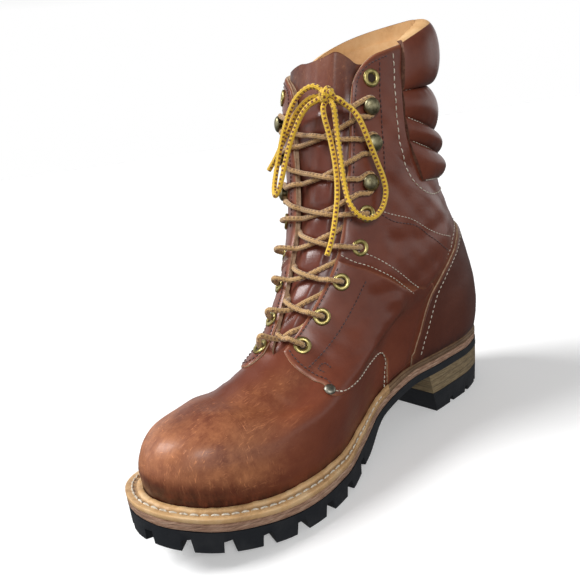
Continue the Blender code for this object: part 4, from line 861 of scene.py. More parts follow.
def shaft_grid(lateral):
    wide, tall = 120, 170
    low = line_through(QUARTER_TOP[:8], wide)[::-1] + np.array([0, 0.001])
    low[:, 0] = np.minimum(low[:, 0], medial_edge(low[:, 1]) - SET_BACK)
    top_round = np.linspace(float(panel_back(1.0)), float(medial_edge(0.99)) - SET_BACK, wide)
    high = np.stack([top_round, corner_share(top_round, np.ones(wide)) - 0.0005], 1)
    sides = []
    for end, line_at in ((0, panel_back), (-1, lambda up: medial_edge(up) - SET_BACK)):
        ups = np.linspace(low[end, 1], high[end, 1], tall)
        side = np.stack([line_at(ups), ups], 1)
        side[0], side[-1] = low[end], high[end]
        sides.append(side)
    shares = coons(low, high, *sides)
    around, up = shares[..., 0], shares[..., 1]
    thick = panel_thick(around, up)
    return (mirrored(around, up) if lateral else around), up, thick


def make_panels():
    for side in SIDES:
        made = patch("quarter_panel_" + side, *quarter_grid(side == "lateral"), [RED, RED, RAW])
        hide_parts("quarter_" + side)
        made = patch("leg_panel_" + side, *shaft_grid(side == "lateral"), [RED, RED, RAW], True)
        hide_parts("shaft_" + side)
    end = COUNTER_EDGE[-1][0]
    rounds = np.linspace(-end, end, 150)
    tops = np.maximum(column(COUNTER_EDGE, 1, np.abs(rounds)), 0.045)
    up = 0.004 + (tops[:, None] - 0.004) * np.linspace(0, 1, 80)[None]
    # the counter in the darker copy of the red leather, which is painted shade
    made = patch("counter_panel", np.repeat(rounds[:, None], 80, 1), up, COUNTER, [SHADED_COUNTER_RED, RAW, RAW])
    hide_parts("counter")


def roll_line(row, away):
    """Height of a seam between rolls: row is its height at the back and at the ends."""
    return row[0] + (row[1] - row[0]) * away ** 1.5


def make_collar():
    """Four padded rolls, the top one over the collar's edge, with the lining's leather on its inside."""
    columns, per_roll, over = 150, 26, 50
    turns = np.linspace(-1, 1, columns)[:, None]
    away = np.abs(turns)
    places, lifts, seam = [], [], []
    for k, (low_row, high_row) in enumerate(zip(ROLLS, ROLLS[1:])):
        low, high = roll_line(low_row, away), roll_line(high_row, away)
        s = (np.arange(per_roll) / per_roll)[None]
        end = np.minimum(s, 1 - s)
        places.append(low + (high - low) * s)
        gather = 1 + 0.05 * np.sin(turns * 60 + k) * np.exp(-(end / 0.18) ** 2)
        lifts.append(0.0010 + PAD_ROLL * np.sin(pi * s) ** 0.60 * (1 - away ** 7 * 0.80) * gather)
        # nearness to each roll's seam, used for the painted shade in the grooves
        seam.append(np.repeat(np.exp(-(end / 0.05) ** 2), columns, 0))
    angle = np.linspace(-88, 95, over)[None]
    a = np.radians(angle)
    rise = np.where(angle > 0, ROLL_OVER - ROLL_PEAK, ROLL_PEAK - high)
    places.append(ROLL_PEAK + rise * np.sin(a) * (1 - 0.35 * away ** 3 * (angle > 0)))
    crown = 1 + 0.03 * np.sin(turns * 23 + 1.3) * np.cos(a)
    lift = 0.0010 + PAD_TOP * (1 - 0.7 * away ** 6) * np.cos(a).clip(0) ** 0.75 * crown
    lifts.append(np.where(angle < 90, lift, -WALL * 0.8))
    seam.append(np.repeat(np.exp(-((angle + 88) / 5) ** 2), columns, 0))
    places, lifts, seam = (np.concatenate(parts, 1) for parts in (places, lifts, seam))
    up = np.minimum(places, 1.0)
    around = (turns * (pad_front(up) - 0.001)) % 1
    outer = skin(around, up, lifts)
    outer[..., 2] += np.maximum(places - 1.0, 0) * UPPER_HEIGHT / 0.72
    inner = skin(around, up, -0.0002)
    inner[:, -1] = outer[:, -1]
    inner[..., 2] += np.where(places > 1, 0.0002, 0)
    made = slab("collar_rolls", outer, inner, [RED, LINING, EDGE_DARK], "red_brown_leather")
    # painted shade: darker in the grooves at the seams between the rolls
    mask(made, "dirt_and_shade", 0.35 * seam, 0)
    tall = places.shape[1]
    first = 3 * per_roll + int(over * 0.80)
    for face in made.data.polygons:
        spots = face.vertices
        if face.material_index == 0 and min(v % tall for v in spots) >= first and spots[0] < columns * tall:
            face.material_index = 1
    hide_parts("collar_pad")


def tongue_sides(up):
    """The tongue's two edges, which run under the facings."""
    return medial_edge(up) - UNDER_FACING, lateral_edge(up) + UNDER_FACING


def tongue_out(across, up):
    """How far the tongue's face stands out of the form."""
    deep = -WALL - 0.0007 - GAP * 2
    open_share = smooth(0.26, 0.42, across) * smooth(0.74, 0.58, across)
    bulge = open_share * (WALL + 0.0010) * smooth(THROAT_BASE, 0.56, up)
    pinch = np.exp(-((np.asarray(up)[..., None] - PINCHES) / 0.011) ** 2).sum(-1)
    return deep + bulge - 0.0017 * pinch * open_share + 0.0004


def make_tongue():
    wide, tall = 70, 190
    ups = np.linspace(0.470, 0.995, tall)
    across = np.linspace(0, 1, wide)[:, None] + 0 * ups[None]
    up = np.repeat(ups[None], wide, 0)
    high, low = tongue_sides(ups)
    rounds = high + (low - high) * across
    bow = np.sin(pi * across)
    up_now = np.minimum(up + 0.022 * smooth(0.90, 0.995, up) * (bow ** 1.5 - 0.3), 1.0)
    wave = 0.0009 * np.sin(across * 9 + up * 30) * smooth(0.55, 0.7, up)
    out = tongue_out(across, up) + wave + 0.0025 * smooth(0.93, 1.0, up) * bow ** 2
    outer, inner = skin(rounds, up_now, out), skin(rounds, up_now, out - TONGUE)
    taller = 0.0078 * smooth(0.915, 0.995, up) * smooth(0.12, 0.42, across) * (1 - 0.15 * np.cos(across * 11))
    outer[..., 2] += taller
    inner[..., 2] += taller
    made = slab("tongue_leather", outer, inner, [TONGUE_PAINT, RAW, RAW], "dark_leather")
    # painted shade: the tongue's sides, which run under the facings, are darker, on both faces
    mask(made, "dirt_and_shade", 0.75 * (1 - smooth(0.12, 0.34, across) * smooth(0.88, 0.66, across)), 1)
    mask(made, "scuff", 0.25 * smooth(0.9, 1, up), 0)
    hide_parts("tongue")


make_upper()
make_panels()
make_collar()
make_tongue()


# ---------------------------------------------------------------- sole
def stations(end, fine):
    """Shares of the length up to end, closer together at the heel, and at the toe where it reaches it."""
    t = np.linspace(0, 1, fine)
    return end * (1 - np.cos(pi * t * (1.0 if end > 0.99 else 0.5))) / (2 if end > 0.99 else 1)


def both_sides(shares):
    """Points of the sole's outline: up the medial side, back down the lateral one."""
    medial = np.stack([column(OUTLINE, 1, shares) * BALL_WIDTH, y_at(shares)], 1)
    lateral = np.stack([-column(OUTLINE, 2, shares) * BALL_WIDTH, y_at(shares)], 1)
    return np.concatenate([medial, lateral[::-1]])


def plan_loop(end=1.0, inset=0.0, fine=150):
    """The sole's outline from the heel to a share of its length, without points that fall together."""
    loop = both_sides(stations(end, fine))
    if inset:
        loop = inset_loop(loop, inset)
    keep = [0]
    for i in range(1, len(loop)):
        if np.hypot(*(loop[i] - loop[keep[-1]])) > 0.0004:
            keep.append(i)
    if np.hypot(*(loop[keep[-1]] - loop[0])) < 0.0004:
        keep.pop()
    return loop[keep]


def inset_loop(loop, inset):
    along = unit(unit(loop - np.roll(loop, 1, 0)) + unit(np.roll(loop, -1, 0) - loop))
    out = np.stack([along[:, 1], -along[:, 0]], 1)
    if ((loop - loop.mean(0)) * out).sum() < 0:
        out = -out
    return loop - out * inset


def plate(name, loops, heights, tone, slot):
    """A plate through several plan loops of one count, from the lowest to the highest."""
    count = len(loops[0])
    rings = [np.column_stack([loop, np.broadcast_to(z, count)]) for loop, z in zip(loops, heights)]
    faces = []
    for k in range(0, (len(loops) - 1) * count, count):
        for i in range(count):
            j = (i + 1) % count
            faces.append((k + i, k + j, k + count + j, k + count + i))
    for side in (0, (len(loops) - 1) * count):
        for i in range((count - 1) // 2):
            j, k = count - 1 - i, count - 2 - i
            face = (i, j, k) if k == i + 1 else (i, j, k, i + 1)
            faces.append(tuple(side + corner for corner in face))
    return turn_out(put(name, np.concatenate(rings), faces, [tone], slot, None, 0.8))


def plan_walk(loop, pitch):
    """Even places along an open line, without its two ends, each with a direction across the line."""
    steps = np.hypot(*np.diff(loop, axis=0).T)
    far = np.concatenate([[0], np.cumsum(steps)])
    count = max(int(round(far[-1] / pitch)), 2)
    for k in range(1, count):
        here = far[-1] * k / count
        i = min(int(np.searchsorted(far, here, side="right")) - 1, len(steps) - 1)
        along = (loop[i + 1] - loop[i]) / steps[i]
        spot = loop[i] + (loop[i + 1] - loop[i]) * ((here - far[i]) / steps[i])
        yield spot, np.array([-along[1], along[0]])


def wedge(spot, out, near, far, low_half, high_half, high):
    """A channel from near behind a spot to far ahead of it; its half width changes from low to high."""
    along = np.array([-out[1], out[0]])
    corners = []
    for z, half in ((-0.002, low_half), (high, high_half)):
        for reach, side in ((far, -1), (far, 1), (-near, 1), (-near, -1)):
            corners.append((*(spot + out * reach + along * side * half), z))
    return corners, [(0, 1, 2, 3), (7, 6, 5, 4), (0, 4, 5, 1), (1, 5, 6, 2), (2, 6, 7, 3), (3, 7, 4, 0)]


def carve(target, pieces):
    """Cuts channels out of a piece and keeps the result as its mesh."""
    corners, faces = [], []
    for spots, sides in pieces:
        faces.extend(tuple(len(corners) + i for i in face) for face in sides)
        corners.extend(tuple(map(float, spot)) for spot in spots)
    mesh = bpy.data.meshes.new("channels")
    mesh.from_pydata(corners, [], faces)
    tool = bpy.data.objects.new("channels", mesh)
    turn_out(tool)
    scene.collection.objects.link(tool)
    change = target.modifiers.new("Cut", "BOOLEAN")
    change.operation, change.solver, change.object = "DIFFERENCE", "EXACT", tool
    view = bpy.context.evaluated_depsgraph_get()
    result = bpy.data.meshes.new_from_object(target.evaluated_get(view))
    target.modifiers.clear()
    target.data = result
    bpy.data.objects.remove(tool)


def make_outsole():
    loop = plan_loop()
    top = seat(loop[:, 1])
    bottom = top - rubber_depth(loop[:, 1])
    bottom = np.where(share_along(loop[:, 1]) > 0.53, np.maximum(bottom, 0), bottom)
    made = plate("rubber_sole", [loop, loop], [bottom, top], RUBBER_PAINT, "black_rubber")
    flared, plain = LUG_GAP / 2 + LUG_FLARE, LUG_GAP / 2
    pieces = []
    shares = np.concatenate([np.linspace(0.50, 0.93, 24), [0.95, 0.97, 0.985, 0.995, 1.0]])
    for spot, out in plan_walk(both_sides(shares), LUG_PITCH):
        inward = out if (spot + out * 0.01 - np.array([0, spot[1] + 0.02])) @ out < 0 else -out
        reach = LUG_REACH if share_along(spot[1]) < 0.93 else LUG_REACH * 0.8
        pieces.append(wedge(spot, inward, 0.008, reach, flared, plain, float(seat(spot[1])) - BASE))
    middle = np.linspace(0.545, 0.90, 7)
    for s in (middle[:-1] + middle[1:]) / 2:
        y = float(y_at(s))
        medial, lateral = float(column(OUTLINE, 1, s)), float(column(OUTLINE, 2, s))
        half = (medial + lateral) / 2 * BALL_WIDTH - LUG_REACH - RIB_WIDTH
        mid = (medial - lateral) / 2 * BALL_WIDTH
        if half > RIB_WIDTH:
            pieces.append(wedge(np.array([mid + half, y]), np.array([-1.0, 0.0]), 0, 2 * half, flared, plain,
                                float(seat(y)) - BASE))
    carve(made, pieces)
    soften(made, 0.0007, 0.6)
    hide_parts("outsole")


def heel_loop(inset, slant):
    return plan_loop(BREAST_SHARE - slant / LENGTH, inset, 90)


def same_count(*loops):
    """The loops with as many points each as the shortest has."""
    count = min(len(loop) for loop in loops)
    return [loop[np.linspace(0, len(loop) - 1, count).round().astype(int)] for loop in loops]


def make_heel():
    foot, middle = heel_loop(LIFT_TAPER, BREAST_SLANT), heel_loop(LIFT_TAPER / 2, BREAST_SLANT / 2)
    made = plate("rubber_heel", same_count(foot, middle), [0.0, LIFT], RUBBER_PAINT, "black_rubber")
    edge = heel_loop(0.0, BREAST_SLANT)
    half = len(edge) // 2
    path = np.concatenate([edge[half:], edge[:half]])
    path = np.roll(path, -int(np.argmax(np.hypot(*np.diff(path, axis=0).T))) - 1, axis=0)
    pieces = []
    for spot, out in plan_walk(path, LUG_PITCH):
        inward = out if (np.array([0, 0.012]) - spot) @ out > 0 else -out
        pieces.append(wedge(spot, inward, 0.006, LUG_REACH * 0.42, LUG_GAP / 2, LUG_GAP / 2 - 0.0008,
                            HEEL_NOTCH))
    carve(made, pieces)
    soften(made, 0.0007, 0.6)
    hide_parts("heel_lift")
    base, roof = same_count(middle, heel_loop(0.0004, 0.0))
    low, top = LIFT + GAP, HEEL_HEIGHT - BASE - GAP
    shares = np.linspace(0, 1, 13)
    layers = [base * (1 - t) + roof * t for t in shares]
    made = plate("leather_stack", layers, low + (top - low) * shares, STACK_PAINT, "brown_leather")
    mask(made, "level", [v.co.z for v in made.data.vertices])
    soften(made, 0.0005, 0.8)
    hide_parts("heel_stack")


def make_midsole():
    loop = plan_loop()
    wave = 0.00025 * np.sin(np.arange(len(loop)) * 0.31)[:, None]
    low, thick = seat(loop[:, 1]) + GAP * 0.3, MIDSOLE + SEAT_GAP * 0.8
    rows = ((0.0, 0.0014), (0.08, 0.0004), (0.5, 0.0002), (0.92, 0.0004), (1.0, 0.0014))
    made = plate("midsole_leather", [inset_loop(loop, inset + wave) for _, inset in rows],
                 [low + thick * share for share, _ in rows], MID_PAINT, "brown_leather")
    places = np.array([v.co for v in made.data.vertices])
    mask(made, "level", places[:, 2] - seat(places[:, 1]) + 0.0012)
    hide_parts("midsole")


def welt_lines(rounds):
    """Along the welt: the sole's edge, the leather's foot, the direction out and the distance between."""
    along = (1 - np.cos(2 * pi * rounds)) / 2
    medial = np.cos(2 * pi * (rounds - 0.25)) >= 0
    x = np.where(medial, column(OUTLINE, 1, along), -column(OUTLINE, 2, along)) * BALL_WIDTH
    edge = np.stack([x, y_at(along)], -1)
    foot = skin(rounds, 0.0, 0.0)[:, :2]
    return edge, foot, unit(edge - foot), np.linalg.norm(edge - foot, axis=1, keepdims=True)


def make_welt(name, node, slot, tone, rounds, share):
    """A strip on the midsole with a raised inner ridge, which has a share of the full height and width."""
    edge, foot, away, reach = welt_lines(rounds)
    under = skin(rounds, 0.0, -WALL)[:, :2]
    low, high = GAP + MIDSOLE + SEAT_GAP * 0.9, WELT_TOP
    rise, far = STORM_RIDGE * share, STORM_WIDTH * share
    sections = [(under, high), (foot + away * 0.0003, high + rise * 0.5),
                (foot + away * 0.0006, high + rise * 0.92)]
    for s in (0.25, 0.5, 0.75):
        sections.append((foot + away * far * s, high + rise * (1.02 - 0.25 * s ** 2)))
    sections += [(foot + away * far, high + rise * 0.55), (foot + away * (far + 0.0006), high + rise * 0.12),
                 (foot + away * (far + 0.0012), high),
                 (foot + away * (far * 0.4 + reach * 0.6), high + 0.0001), (edge - away * 0.0012, high),
                 (edge - away * 0.0004, high - 0.0003), (edge, high - 0.0010), (edge, low + 0.0006),
                 (edge - away * 0.0005, low), (under, low)]
    grid = np.stack([np.column_stack([plan, seat(plan[:, 1]) + lift]) for plan, lift in sections], 1)
    steps = np.arange(len(rounds))
    grid[:, 3:10, 2] += (0.00022 * np.sin(steps * 0.23) + 0.00015 * np.sin(steps * 0.61))[:, None]
    wide, tall = grid.shape[:2]
    faces = []
    for i in range(0, (wide - 1) * tall, tall):
        for j in range(tall):
            k = (j + 1) % tall
            faces.append((i + j, i + tall + j, i + tall + k, i + k))
    faces.append(tuple(range(tall)))
    faces.append(tuple((wide - 1) * tall + j for j in reversed(range(tall))))
    made = turn_out(put(name, grid.reshape(-1, 3), faces, [tone], slot))
    # dirt_and_shade: painted shade in the crevice by the leather and in the trough past the ridge; darker on
    # the outer edge, underneath and towards the heel
    dirt_and_shade = np.zeros((wide, tall))
    dirt_and_shade[:, 1:3], dirt_and_shade[:, 7:9], dirt_and_shade[:, 12:15] = 0.5, 0.75, 0.35
    back = smooth(0.36, 0.25, np.minimum(rounds, 1 - rounds))[:, None]
    mask(made, "dirt_and_shade", np.clip(dirt_and_shade + 0.45 * back, 0, 1))
    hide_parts(node)


make_outsole()
make_heel()
make_midsole()
make_welt("welt_strip", "welt", "tan_leather", WELT_PAINT,
          np.linspace(WELT_END - 0.004, 1.004 - WELT_END, 420), 1.0)
make_welt("heel_rand_strip", "heel_rand", "brown_leather", RAND_PAINT,
          np.linspace(0.004 - WELT_END, WELT_END - 0.004, 260) % 1, 0.5)


# ---------------------------------------------------------------- stitches
STITCH = ((0.0, 0.25), (0.12, 0.80), (0.35, 1.0), (0.65, 1.0), (0.88, 0.80), (1.0, 0.25))


class Stitches:
    """Collects stitches of one thread into one piece."""

    def __init__(self):
        self.corners, self.faces = [], []

    def add(self, points, normals, length, gap, radius, bow=0.35):
        far = run_of(points)
        count = int(far[-1] / (length + gap))

        def along_line(values, at):
            return np.array([np.interp(at, far, values[:, c]) for c in range(3)])

        for k in range(count):
            start = (k + 0.5) * far[-1] / count - length / 2
            spots = [along_line(points, start + length * t) for t, _ in STITCH]
            out = unit(along_line(normals, start + length / 2))
            side = np.cross(unit(spots[-1] - spots[0]), out)
            first = len(self.corners)
            for spot, (t, share) in zip(spots, STITCH):
                lift = out * radius * bow * 2 * (sin(pi * t) - 0.35)
                for a in 2 * pi * np.arange(6) / 6:
                    self.corners.append(spot + lift + (side * cos(a) + out * sin(a)) * radius * share)
            last = len(self.corners) - 6
            for i in range(first, last, 6):
                for s in range(6):
                    q = (s + 1) % 6
                    self.faces.append((i + s, i + q, i + 6 + q, i + 6 + s))
            self.faces.append(tuple(first + s for s in reversed(range(6))))
            self.faces.append(tuple(last + s for s in range(6)))

    def done(self, name, tone, slot):
        turn_out(put(name, self.corners, self.faces, [tone], slot, smooth_angle=3.0))


def seam_line(shares, out, lateral):
    around, up = line_through(shares, 300).T
    if out is ON_LEG:
        out = ON_SKIN + panel_thick(around, up) + THREAD_LIFT
    if lateral:
        around = mirrored(around, up)
    points = leather_at(around % 1, up, out)
    return points, unit(skin(around % 1, up, out + 0.001) - skin(around % 1, up, out))


ON_LEG = None               # the leg panel's own thickness at each point
ON_QUARTER = ON_SKIN + QUARTER + THREAD_LIFT
# rows: height of the leather under them, stitch length, gap and radius, then the shares round and up
PALE_ROWS = (
    (ON_LEG, 0.0022, 0.0010, 0.00034,
     (0.402, 0.652), (0.372, 0.634), (0.337, 0.612), (0.307, 0.584), (0.272, 0.534), (0.244, 0.470),
     (0.228, 0.420)),
    (ON_LEG, 0.0022, 0.0010, 0.00034,
     (0.399, 0.668), (0.372, 0.651), (0.337, 0.629), (0.306, 0.600), (0.270, 0.550), (0.241, 0.486),
     (0.224, 0.436)),
    (ON_LEG, 0.0034, 0.0014, 0.00044,
     (0.282, 0.990), (0.278, 0.936), (0.277, 0.886), (0.274, 0.822), (0.266, 0.790), (0.254, 0.754),
     (0.233, 0.716), (0.208, 0.686), (0.172, 0.660), (0.130, 0.645), (0.092, 0.638), (0.050, 0.633),
     (0.0, 0.632)),
    (ON_QUARTER, 0.0024, 0.0010, 0.00040,
     (0.322, 0.312), (0.303, 0.276), (0.285, 0.258), (0.263, 0.238), (0.243, 0.200), (0.236, 0.165),
     (0.233, 0.120), (0.233, 0.060), (0.233, 0.020)),
    (ON_LEG, 0.0022, 0.0011, 0.00032,
     (0.330, 0.700), (0.309, 0.688), (0.250, 0.648), (0.207, 0.594), (0.165, 0.532), (0.140, 0.500)),
    (ON_SKIN + COUNTER + 0.0001, 0.0026, 0.0014, 0.00034,
     (0.096, 0.470), (0.134, 0.424), (0.159, 0.372), (0.172, 0.296), (0.179, 0.200), (0.186, 0.110),
     (0.191, 0.030)),
    (0.0003, 0.0026, 0.0014, 0.00030,
     (0.206, 0.030), (0.204, 0.110), (0.198, 0.200), (0.192, 0.300), (0.180, 0.385), (0.152, 0.446),
     (0.110, 0.500), (0.060, 0.510), (0.0, 0.512)),
)
DARK_ROWS = (
    (ON_LEG, 0.0026, 0.0007, 0.00044,
     (0.322, 0.982), (0.320, 0.900), (0.316, 0.818), (0.316, 0.740), (0.325, 0.700)),
    (ON_LEG, 0.0030, 0.0005, 0.00036,
     (0.325, 0.692), (0.300, 0.672), (0.240, 0.628), (0.201, 0.566), (0.172, 0.500), (0.157, 0.464)),
    (ON_QUARTER, 0.0022, 0.0007, 0.00044,
     (0.386, 0.447), (0.364, 0.500), (0.350, 0.545), (0.336, 0.588)),
    (ON_QUARTER, 0.0015, 0.0004, 0.00040,
     (0.350, 0.422), (0.357, 0.435), (0.364, 0.447), (0.369, 0.449), (0.371, 0.441), (0.364, 0.429),
     (0.3565, 0.417)),
    (ON_QUARTER, 0.0022, 0.0007, 0.00042,
     (0.430, 0.494), (0.404, 0.463), (0.372, 0.427), (0.346, 0.384), (0.326, 0.330)),
    (ON_LEG, 0.0022, 0.0007, 0.00042,
     (0.392, 0.700), (0.390, 0.800), (0.386, 0.900), (0.384, 0.950), (0.370, 0.974), (0.340, 0.985),
     (0.300, 0.988)),
    (ON_QUARTER, 0.0022, 0.0007, 0.00042,
     (0.428, 0.510), (0.418, 0.550), (0.408, 0.600), (0.400, 0.632)),
)


def make_stitches():
    for side in SIDES:
        for rows, name, tone, slot in ((PALE_ROWS, "pale_stitches_", WHITE_THREAD, "tan_leather"),
                                       (DARK_ROWS, "dark_stitches_", DARK_THREAD, "dark_leather")):
            thread = Stitches()
            for out, length, gap, radius, *shares in rows:
                thread.add(*seam_line(shares, out, side == "lateral"), length, gap, radius)
            thread.done(name + side, tone, slot)
    welt = Stitches()
    _, foot, away, reach = welt_lines(np.linspace(WELT_END - 0.002, 1 - WELT_END + 0.002, 900))
    plan = foot + away * (STORM_WIDTH * 0.42 + reach * 0.48)
    points = np.column_stack([plan, seat(plan[:, 1]) + WELT_TOP + 0.0003])
    welt.add(points, np.tile([0, 0, 1.0], (len(points), 1)), 0.0050, 0.0008, 0.00062, 0.4)
    welt.done("welt_stitches", WHITE_THREAD, "tan_leather")
    rolls = Stitches()
    for row in ROLLS:
        t = np.linspace(-0.97, 0.97, 260)
        up = roll_line(row, np.abs(t))
        around = (t * (pad_front(up) - 0.001)) % 1
        points = skin(around, up, 0.0014)
        rolls.add(points, skin(around, up, 0.0024) - points, 0.0024, 0.0010, 0.00032)
    rolls.done("collar_stitches", WHITE_THREAD, "tan_leather")


make_stitches()


# ---------------------------------------------------------------- hardware
def fitting(name, node, profile, sides, tones, slot, place):
    """A turned metal piece: its profile is (radius, height) in a closed row."""
    count = len(profile)
    corners, faces = [], []
    for i in range(sides):
        a, k = 2 * pi * i / sides, (i + 1) % sides
        corners += [place @ Vector((r * cos(a), r * sin(a), h)) for r, h in profile]
        for j in range(count):
            m = (j + 1) % count
            faces.append((i * count + j, k * count + j, k * count + m, i * count + m))
    made = turn_out(put(name, corners, faces, tones, slot))
    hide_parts(node)
    return made


def on_side(side, around, up):
    return float(mirrored(around, up)) if side == "lateral" else around


def stand(side, around, up, lift=0.0):
    """A place on one side's facing, whose Z axis is the leather's normal."""
    around, out = on_side(side, around, up), facing_out(up) + lift
    spot = Vector(leather_at(around, up, out).tolist())
    away = skin(around, up, 0.001) - skin(around, up, 0.0)
    turn = Vector(away.tolist()).normalized().to_track_quat("Z", "Y").to_matrix().to_4x4()
    return Matrix.Translation(spot) @ turn


def facing_out(up):
    """How far the facing's panel stands out of the form."""
    return ON_SKIN + (SHAFT if up > 0.655 else QUARTER)


def rolled_ring(outer, hole, thick):
    """Section of an eyelet: a rolled flange that dips into its barrel."""
    mid, half = (outer + hole) / 2, (outer - hole) / 2
    points = [(mid + half * cos(a), thick * sin(a) ** 0.7 - 0.0001) for a in np.linspace(0, pi, 12)]
    return points + [(hole, -0.0030), (hole + 0.0005, -0.0030)]


def make_hardware():
    dome = [(0.0001, 0.0064)]
    dome += [(0.0058 * sin(a), 0.0036 + 0.0028 * cos(a)) for a in np.linspace(0.12, 0.5 * pi, 9)]
    dome += [(0.0055, 0.0033), (0.0022, 0.0031), (0.0021, 0.0008), (0.0042, 0.0002), (0.0044, -0.0004),
             (0.0001, -0.0004)]
    cap = [(0.0001, 0.0015), (0.0018, 0.0014), (0.0030, 0.0010), (0.0037, 0.0003), (0.0038, -0.0003),
           (0.0001, -0.0003)]
    flange = rolled_ring(0.0060, 0.0027, 0.0014)
    for side in SIDES:
        for number, (up, around) in enumerate(EYELETS, 1):
            node = "eyelet_%s_%d" % (side, number)
            place = stand(side, around, up, 0.0001)
            made = fitting(node + "_brass", node, flange, 36, [BRASS, HOLE_SHADE_DISC], "brass", place)

            # a dark disc under the flange: painted shade in the eyelet's hole
            def add_hole_shade(shape):
                disc = bmesh.ops.create_circle(shape, cap_ends=True, segments=24, radius=0.0029,
                                               matrix=place @ Matrix.Translation((0, 0, 0.0001)))
                for face in disc["verts"][0].link_faces:
                    face.material_index = 1

            rework(made.data, add_hole_shade)
        for number, (up, around) in enumerate(HOOKS, 1):
            node = "hook_%s_%d" % (side, number)
            fitting(node + "_bronze", node, dome, 32, [BRONZE], "old_bronze", stand(side, around, up))
        up, around = RIVET
        node = "rivet_" + side
        fitting(node + "_steel", node, cap, 28, [STEEL], "dull_steel", stand(side, around, up))


make_hardware()


# ---------------------------------------------------------------- laces
def tube_mesh(route, sides):
    """Corners, faces and face places (turn, run) of a braided lace along even points."""
    along = unit(np.gradient(route, axis=0))
    side = unit(np.cross(along[0], [0.3, 0.2, 0.9]))
    run = run_of(route)
    turn = np.arange(sides) / sides
    corners, faces, places = [], [], []
    for k, (spot, t) in enumerate(zip(route, along)):
        side = unit(side - t * (side @ t))
        wave = (np.sin(2 * pi * (STRANDS * turn + run[k] * WEAVE))
                * np.sin(2 * pi * (STRANDS * turn - run[k] * WEAVE)))
        r = LACE / 2 * (1 + 0.05 * wave)
        corners.append(spot + (np.cos(2 * pi * turn) * r)[:, None] * side
                       + (np.sin(2 * pi * turn) * r)[:, None] * np.cross(t, side))
    for k in range(len(route) - 1):
        for s in range(sides):
            q = (s + 1) % sides
            faces.append((k * sides + s, k * sides + q, (k + 1) * sides + q, (k + 1) * sides + s))
            places += [(s / sides, run[k]), ((s + 1) / sides, run[k]), ((s + 1) / sides, run[k + 1]),
                       (s / sides, run[k + 1])]
    for ring_at, order in ((0, reversed(range(sides))), (len(route) - 1, range(sides))):
        faces.append(tuple(ring_at * sides + s for s in order))
        places += [(0.5, run[ring_at])] * sides
    return np.concatenate(corners), faces, places


def lace(name, node, lines, tone=None, sides=14):
    """One braided piece along lines of even points."""
    corners, faces, places = [], [], []
    for line in lines:
        more_corners, more_faces, more_places = tube_mesh(line, sides)
        faces += [tuple(len(corners) + i for i in face) for face in more_faces]
        corners += list(more_corners)
        places += more_places
    made = put(name, corners, faces, [tone or LACE_FADED], "yellow_lace", None, 3.0)
    made.data.uv_layers.new(name="UVMap").data.foreach_set("uv", np.asarray(places, np.float32).ravel())
    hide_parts(node)
    return made


def drawn(route):
    return even(curve_through(route), 0.0007)


def span(around, up):
    """Metres to a share round at this place."""
    return float(np.linalg.norm(skin(around + 0.005, up, 0.0) - skin(around - 0.005, up, 0.0))) / 0.01


def across_share(around, up):
    high, low = tongue_sides(up)
    return (around - high) / (low - high)


def strand(start, end, medial_first, over, slack, from_hook, to_hook, arc):
    """One lace from an eyelet or hook, across the tongue, to the next eyelet or hook of the other side."""
    (up_a, round_a), (up_b, round_b) = start, end
    first, second = SIDES if medial_first else SIDES[::-1]
    a, b = on_side(first, round_a, up_a), on_side(second, round_b, up_b)
    sign = 1 if b > a else -1
    wide_a, wide_b = sign / span(a, up_a), sign / span(b, up_b)
    top = facing_out(up_a)
    if from_hook:
        points = [skin(a - HOOK_SIDE * wide_a, up_a, top + LACE / 2),
                  skin(a, up_a + HOOK_OVER, top + LACE / 2)]
        begin, up_begin = a + 0.008 * wide_a, up_a + HOOK_LEAVE
    else:
        points = [leather_at(a, up_a, top - 0.004),
                  leather_at(a + 0.0004 * wide_a, up_a + 0.001, top + 0.0016)]
        begin, up_begin = a + 0.0050 * wide_a, up_a + 0.004
    if to_hook:
        finish, up_finish = b - 0.008 * wide_b, up_b - HOOK_LEAVE
    else:
        edge = float(lateral_edge(up_b)) if medial_first else float(medial_edge(up_b))
        finish, up_finish = edge + 0.004 * wide_b, up_b - 0.004
    for s in np.linspace(0, 1, 17):
        around, up = begin + (finish - begin) * s, up_begin + (up_finish - up_begin) * s
        here = span(around, up)
        near_m = (around - float(medial_edge(up))) * here
        near_l = (float(lateral_edge(up)) - around) * here
        inside = float(smooth(-0.0010, 0.0065, near_m) * smooth(-0.0010, 0.0065, near_l))
        face = facing_out(up) + LACE / 2 + (0.0012 if s < 0.25 and not from_hook else 0.0002)
        low = float(tongue_out(across_share(around, up), up)) + LACE / 2 * 0.9
        low += over * np.exp(-((s - 0.5) / 0.22) ** 2) + slack * sin(pi * s)
        out = face + (low - face) * inside
        if not from_hook:
            out += arc * np.exp(-((s - 0.14) / 0.16) ** 2)
        if not to_hook:
            gone = near_l if medial_first else near_m
            out += (-0.0034 - out) * float(smooth(0.0055, 0.0008, gone)) * (s > 0.5)
        points.append(leather_at(around, up, out))
    if to_hook:
        top = facing_out(up_b) + LACE / 2
        points += [skin(b, up_b - HOOK_OVER, top), skin(b + HOOK_SIDE * wide_b, up_b, top)]
    return drawn(points)


def into_knot(spot):
    away = np.array(spot) - KNOT
    return KNOT + away / np.linalg.norm(away / KNOT_SIZE) * 0.55


def free_lace(name, node, route, both_ends):
    """A free end or loop of the bow, from inside the knot, and back into it where both ends are tied."""
    ends = [into_knot(route[-1])] if both_ends else []
    line = even(curve_through([into_knot(route[0]), *route, *ends]), 0.0006)
    made = lace(name, node, [line], LACE_BRIGHT, 16)


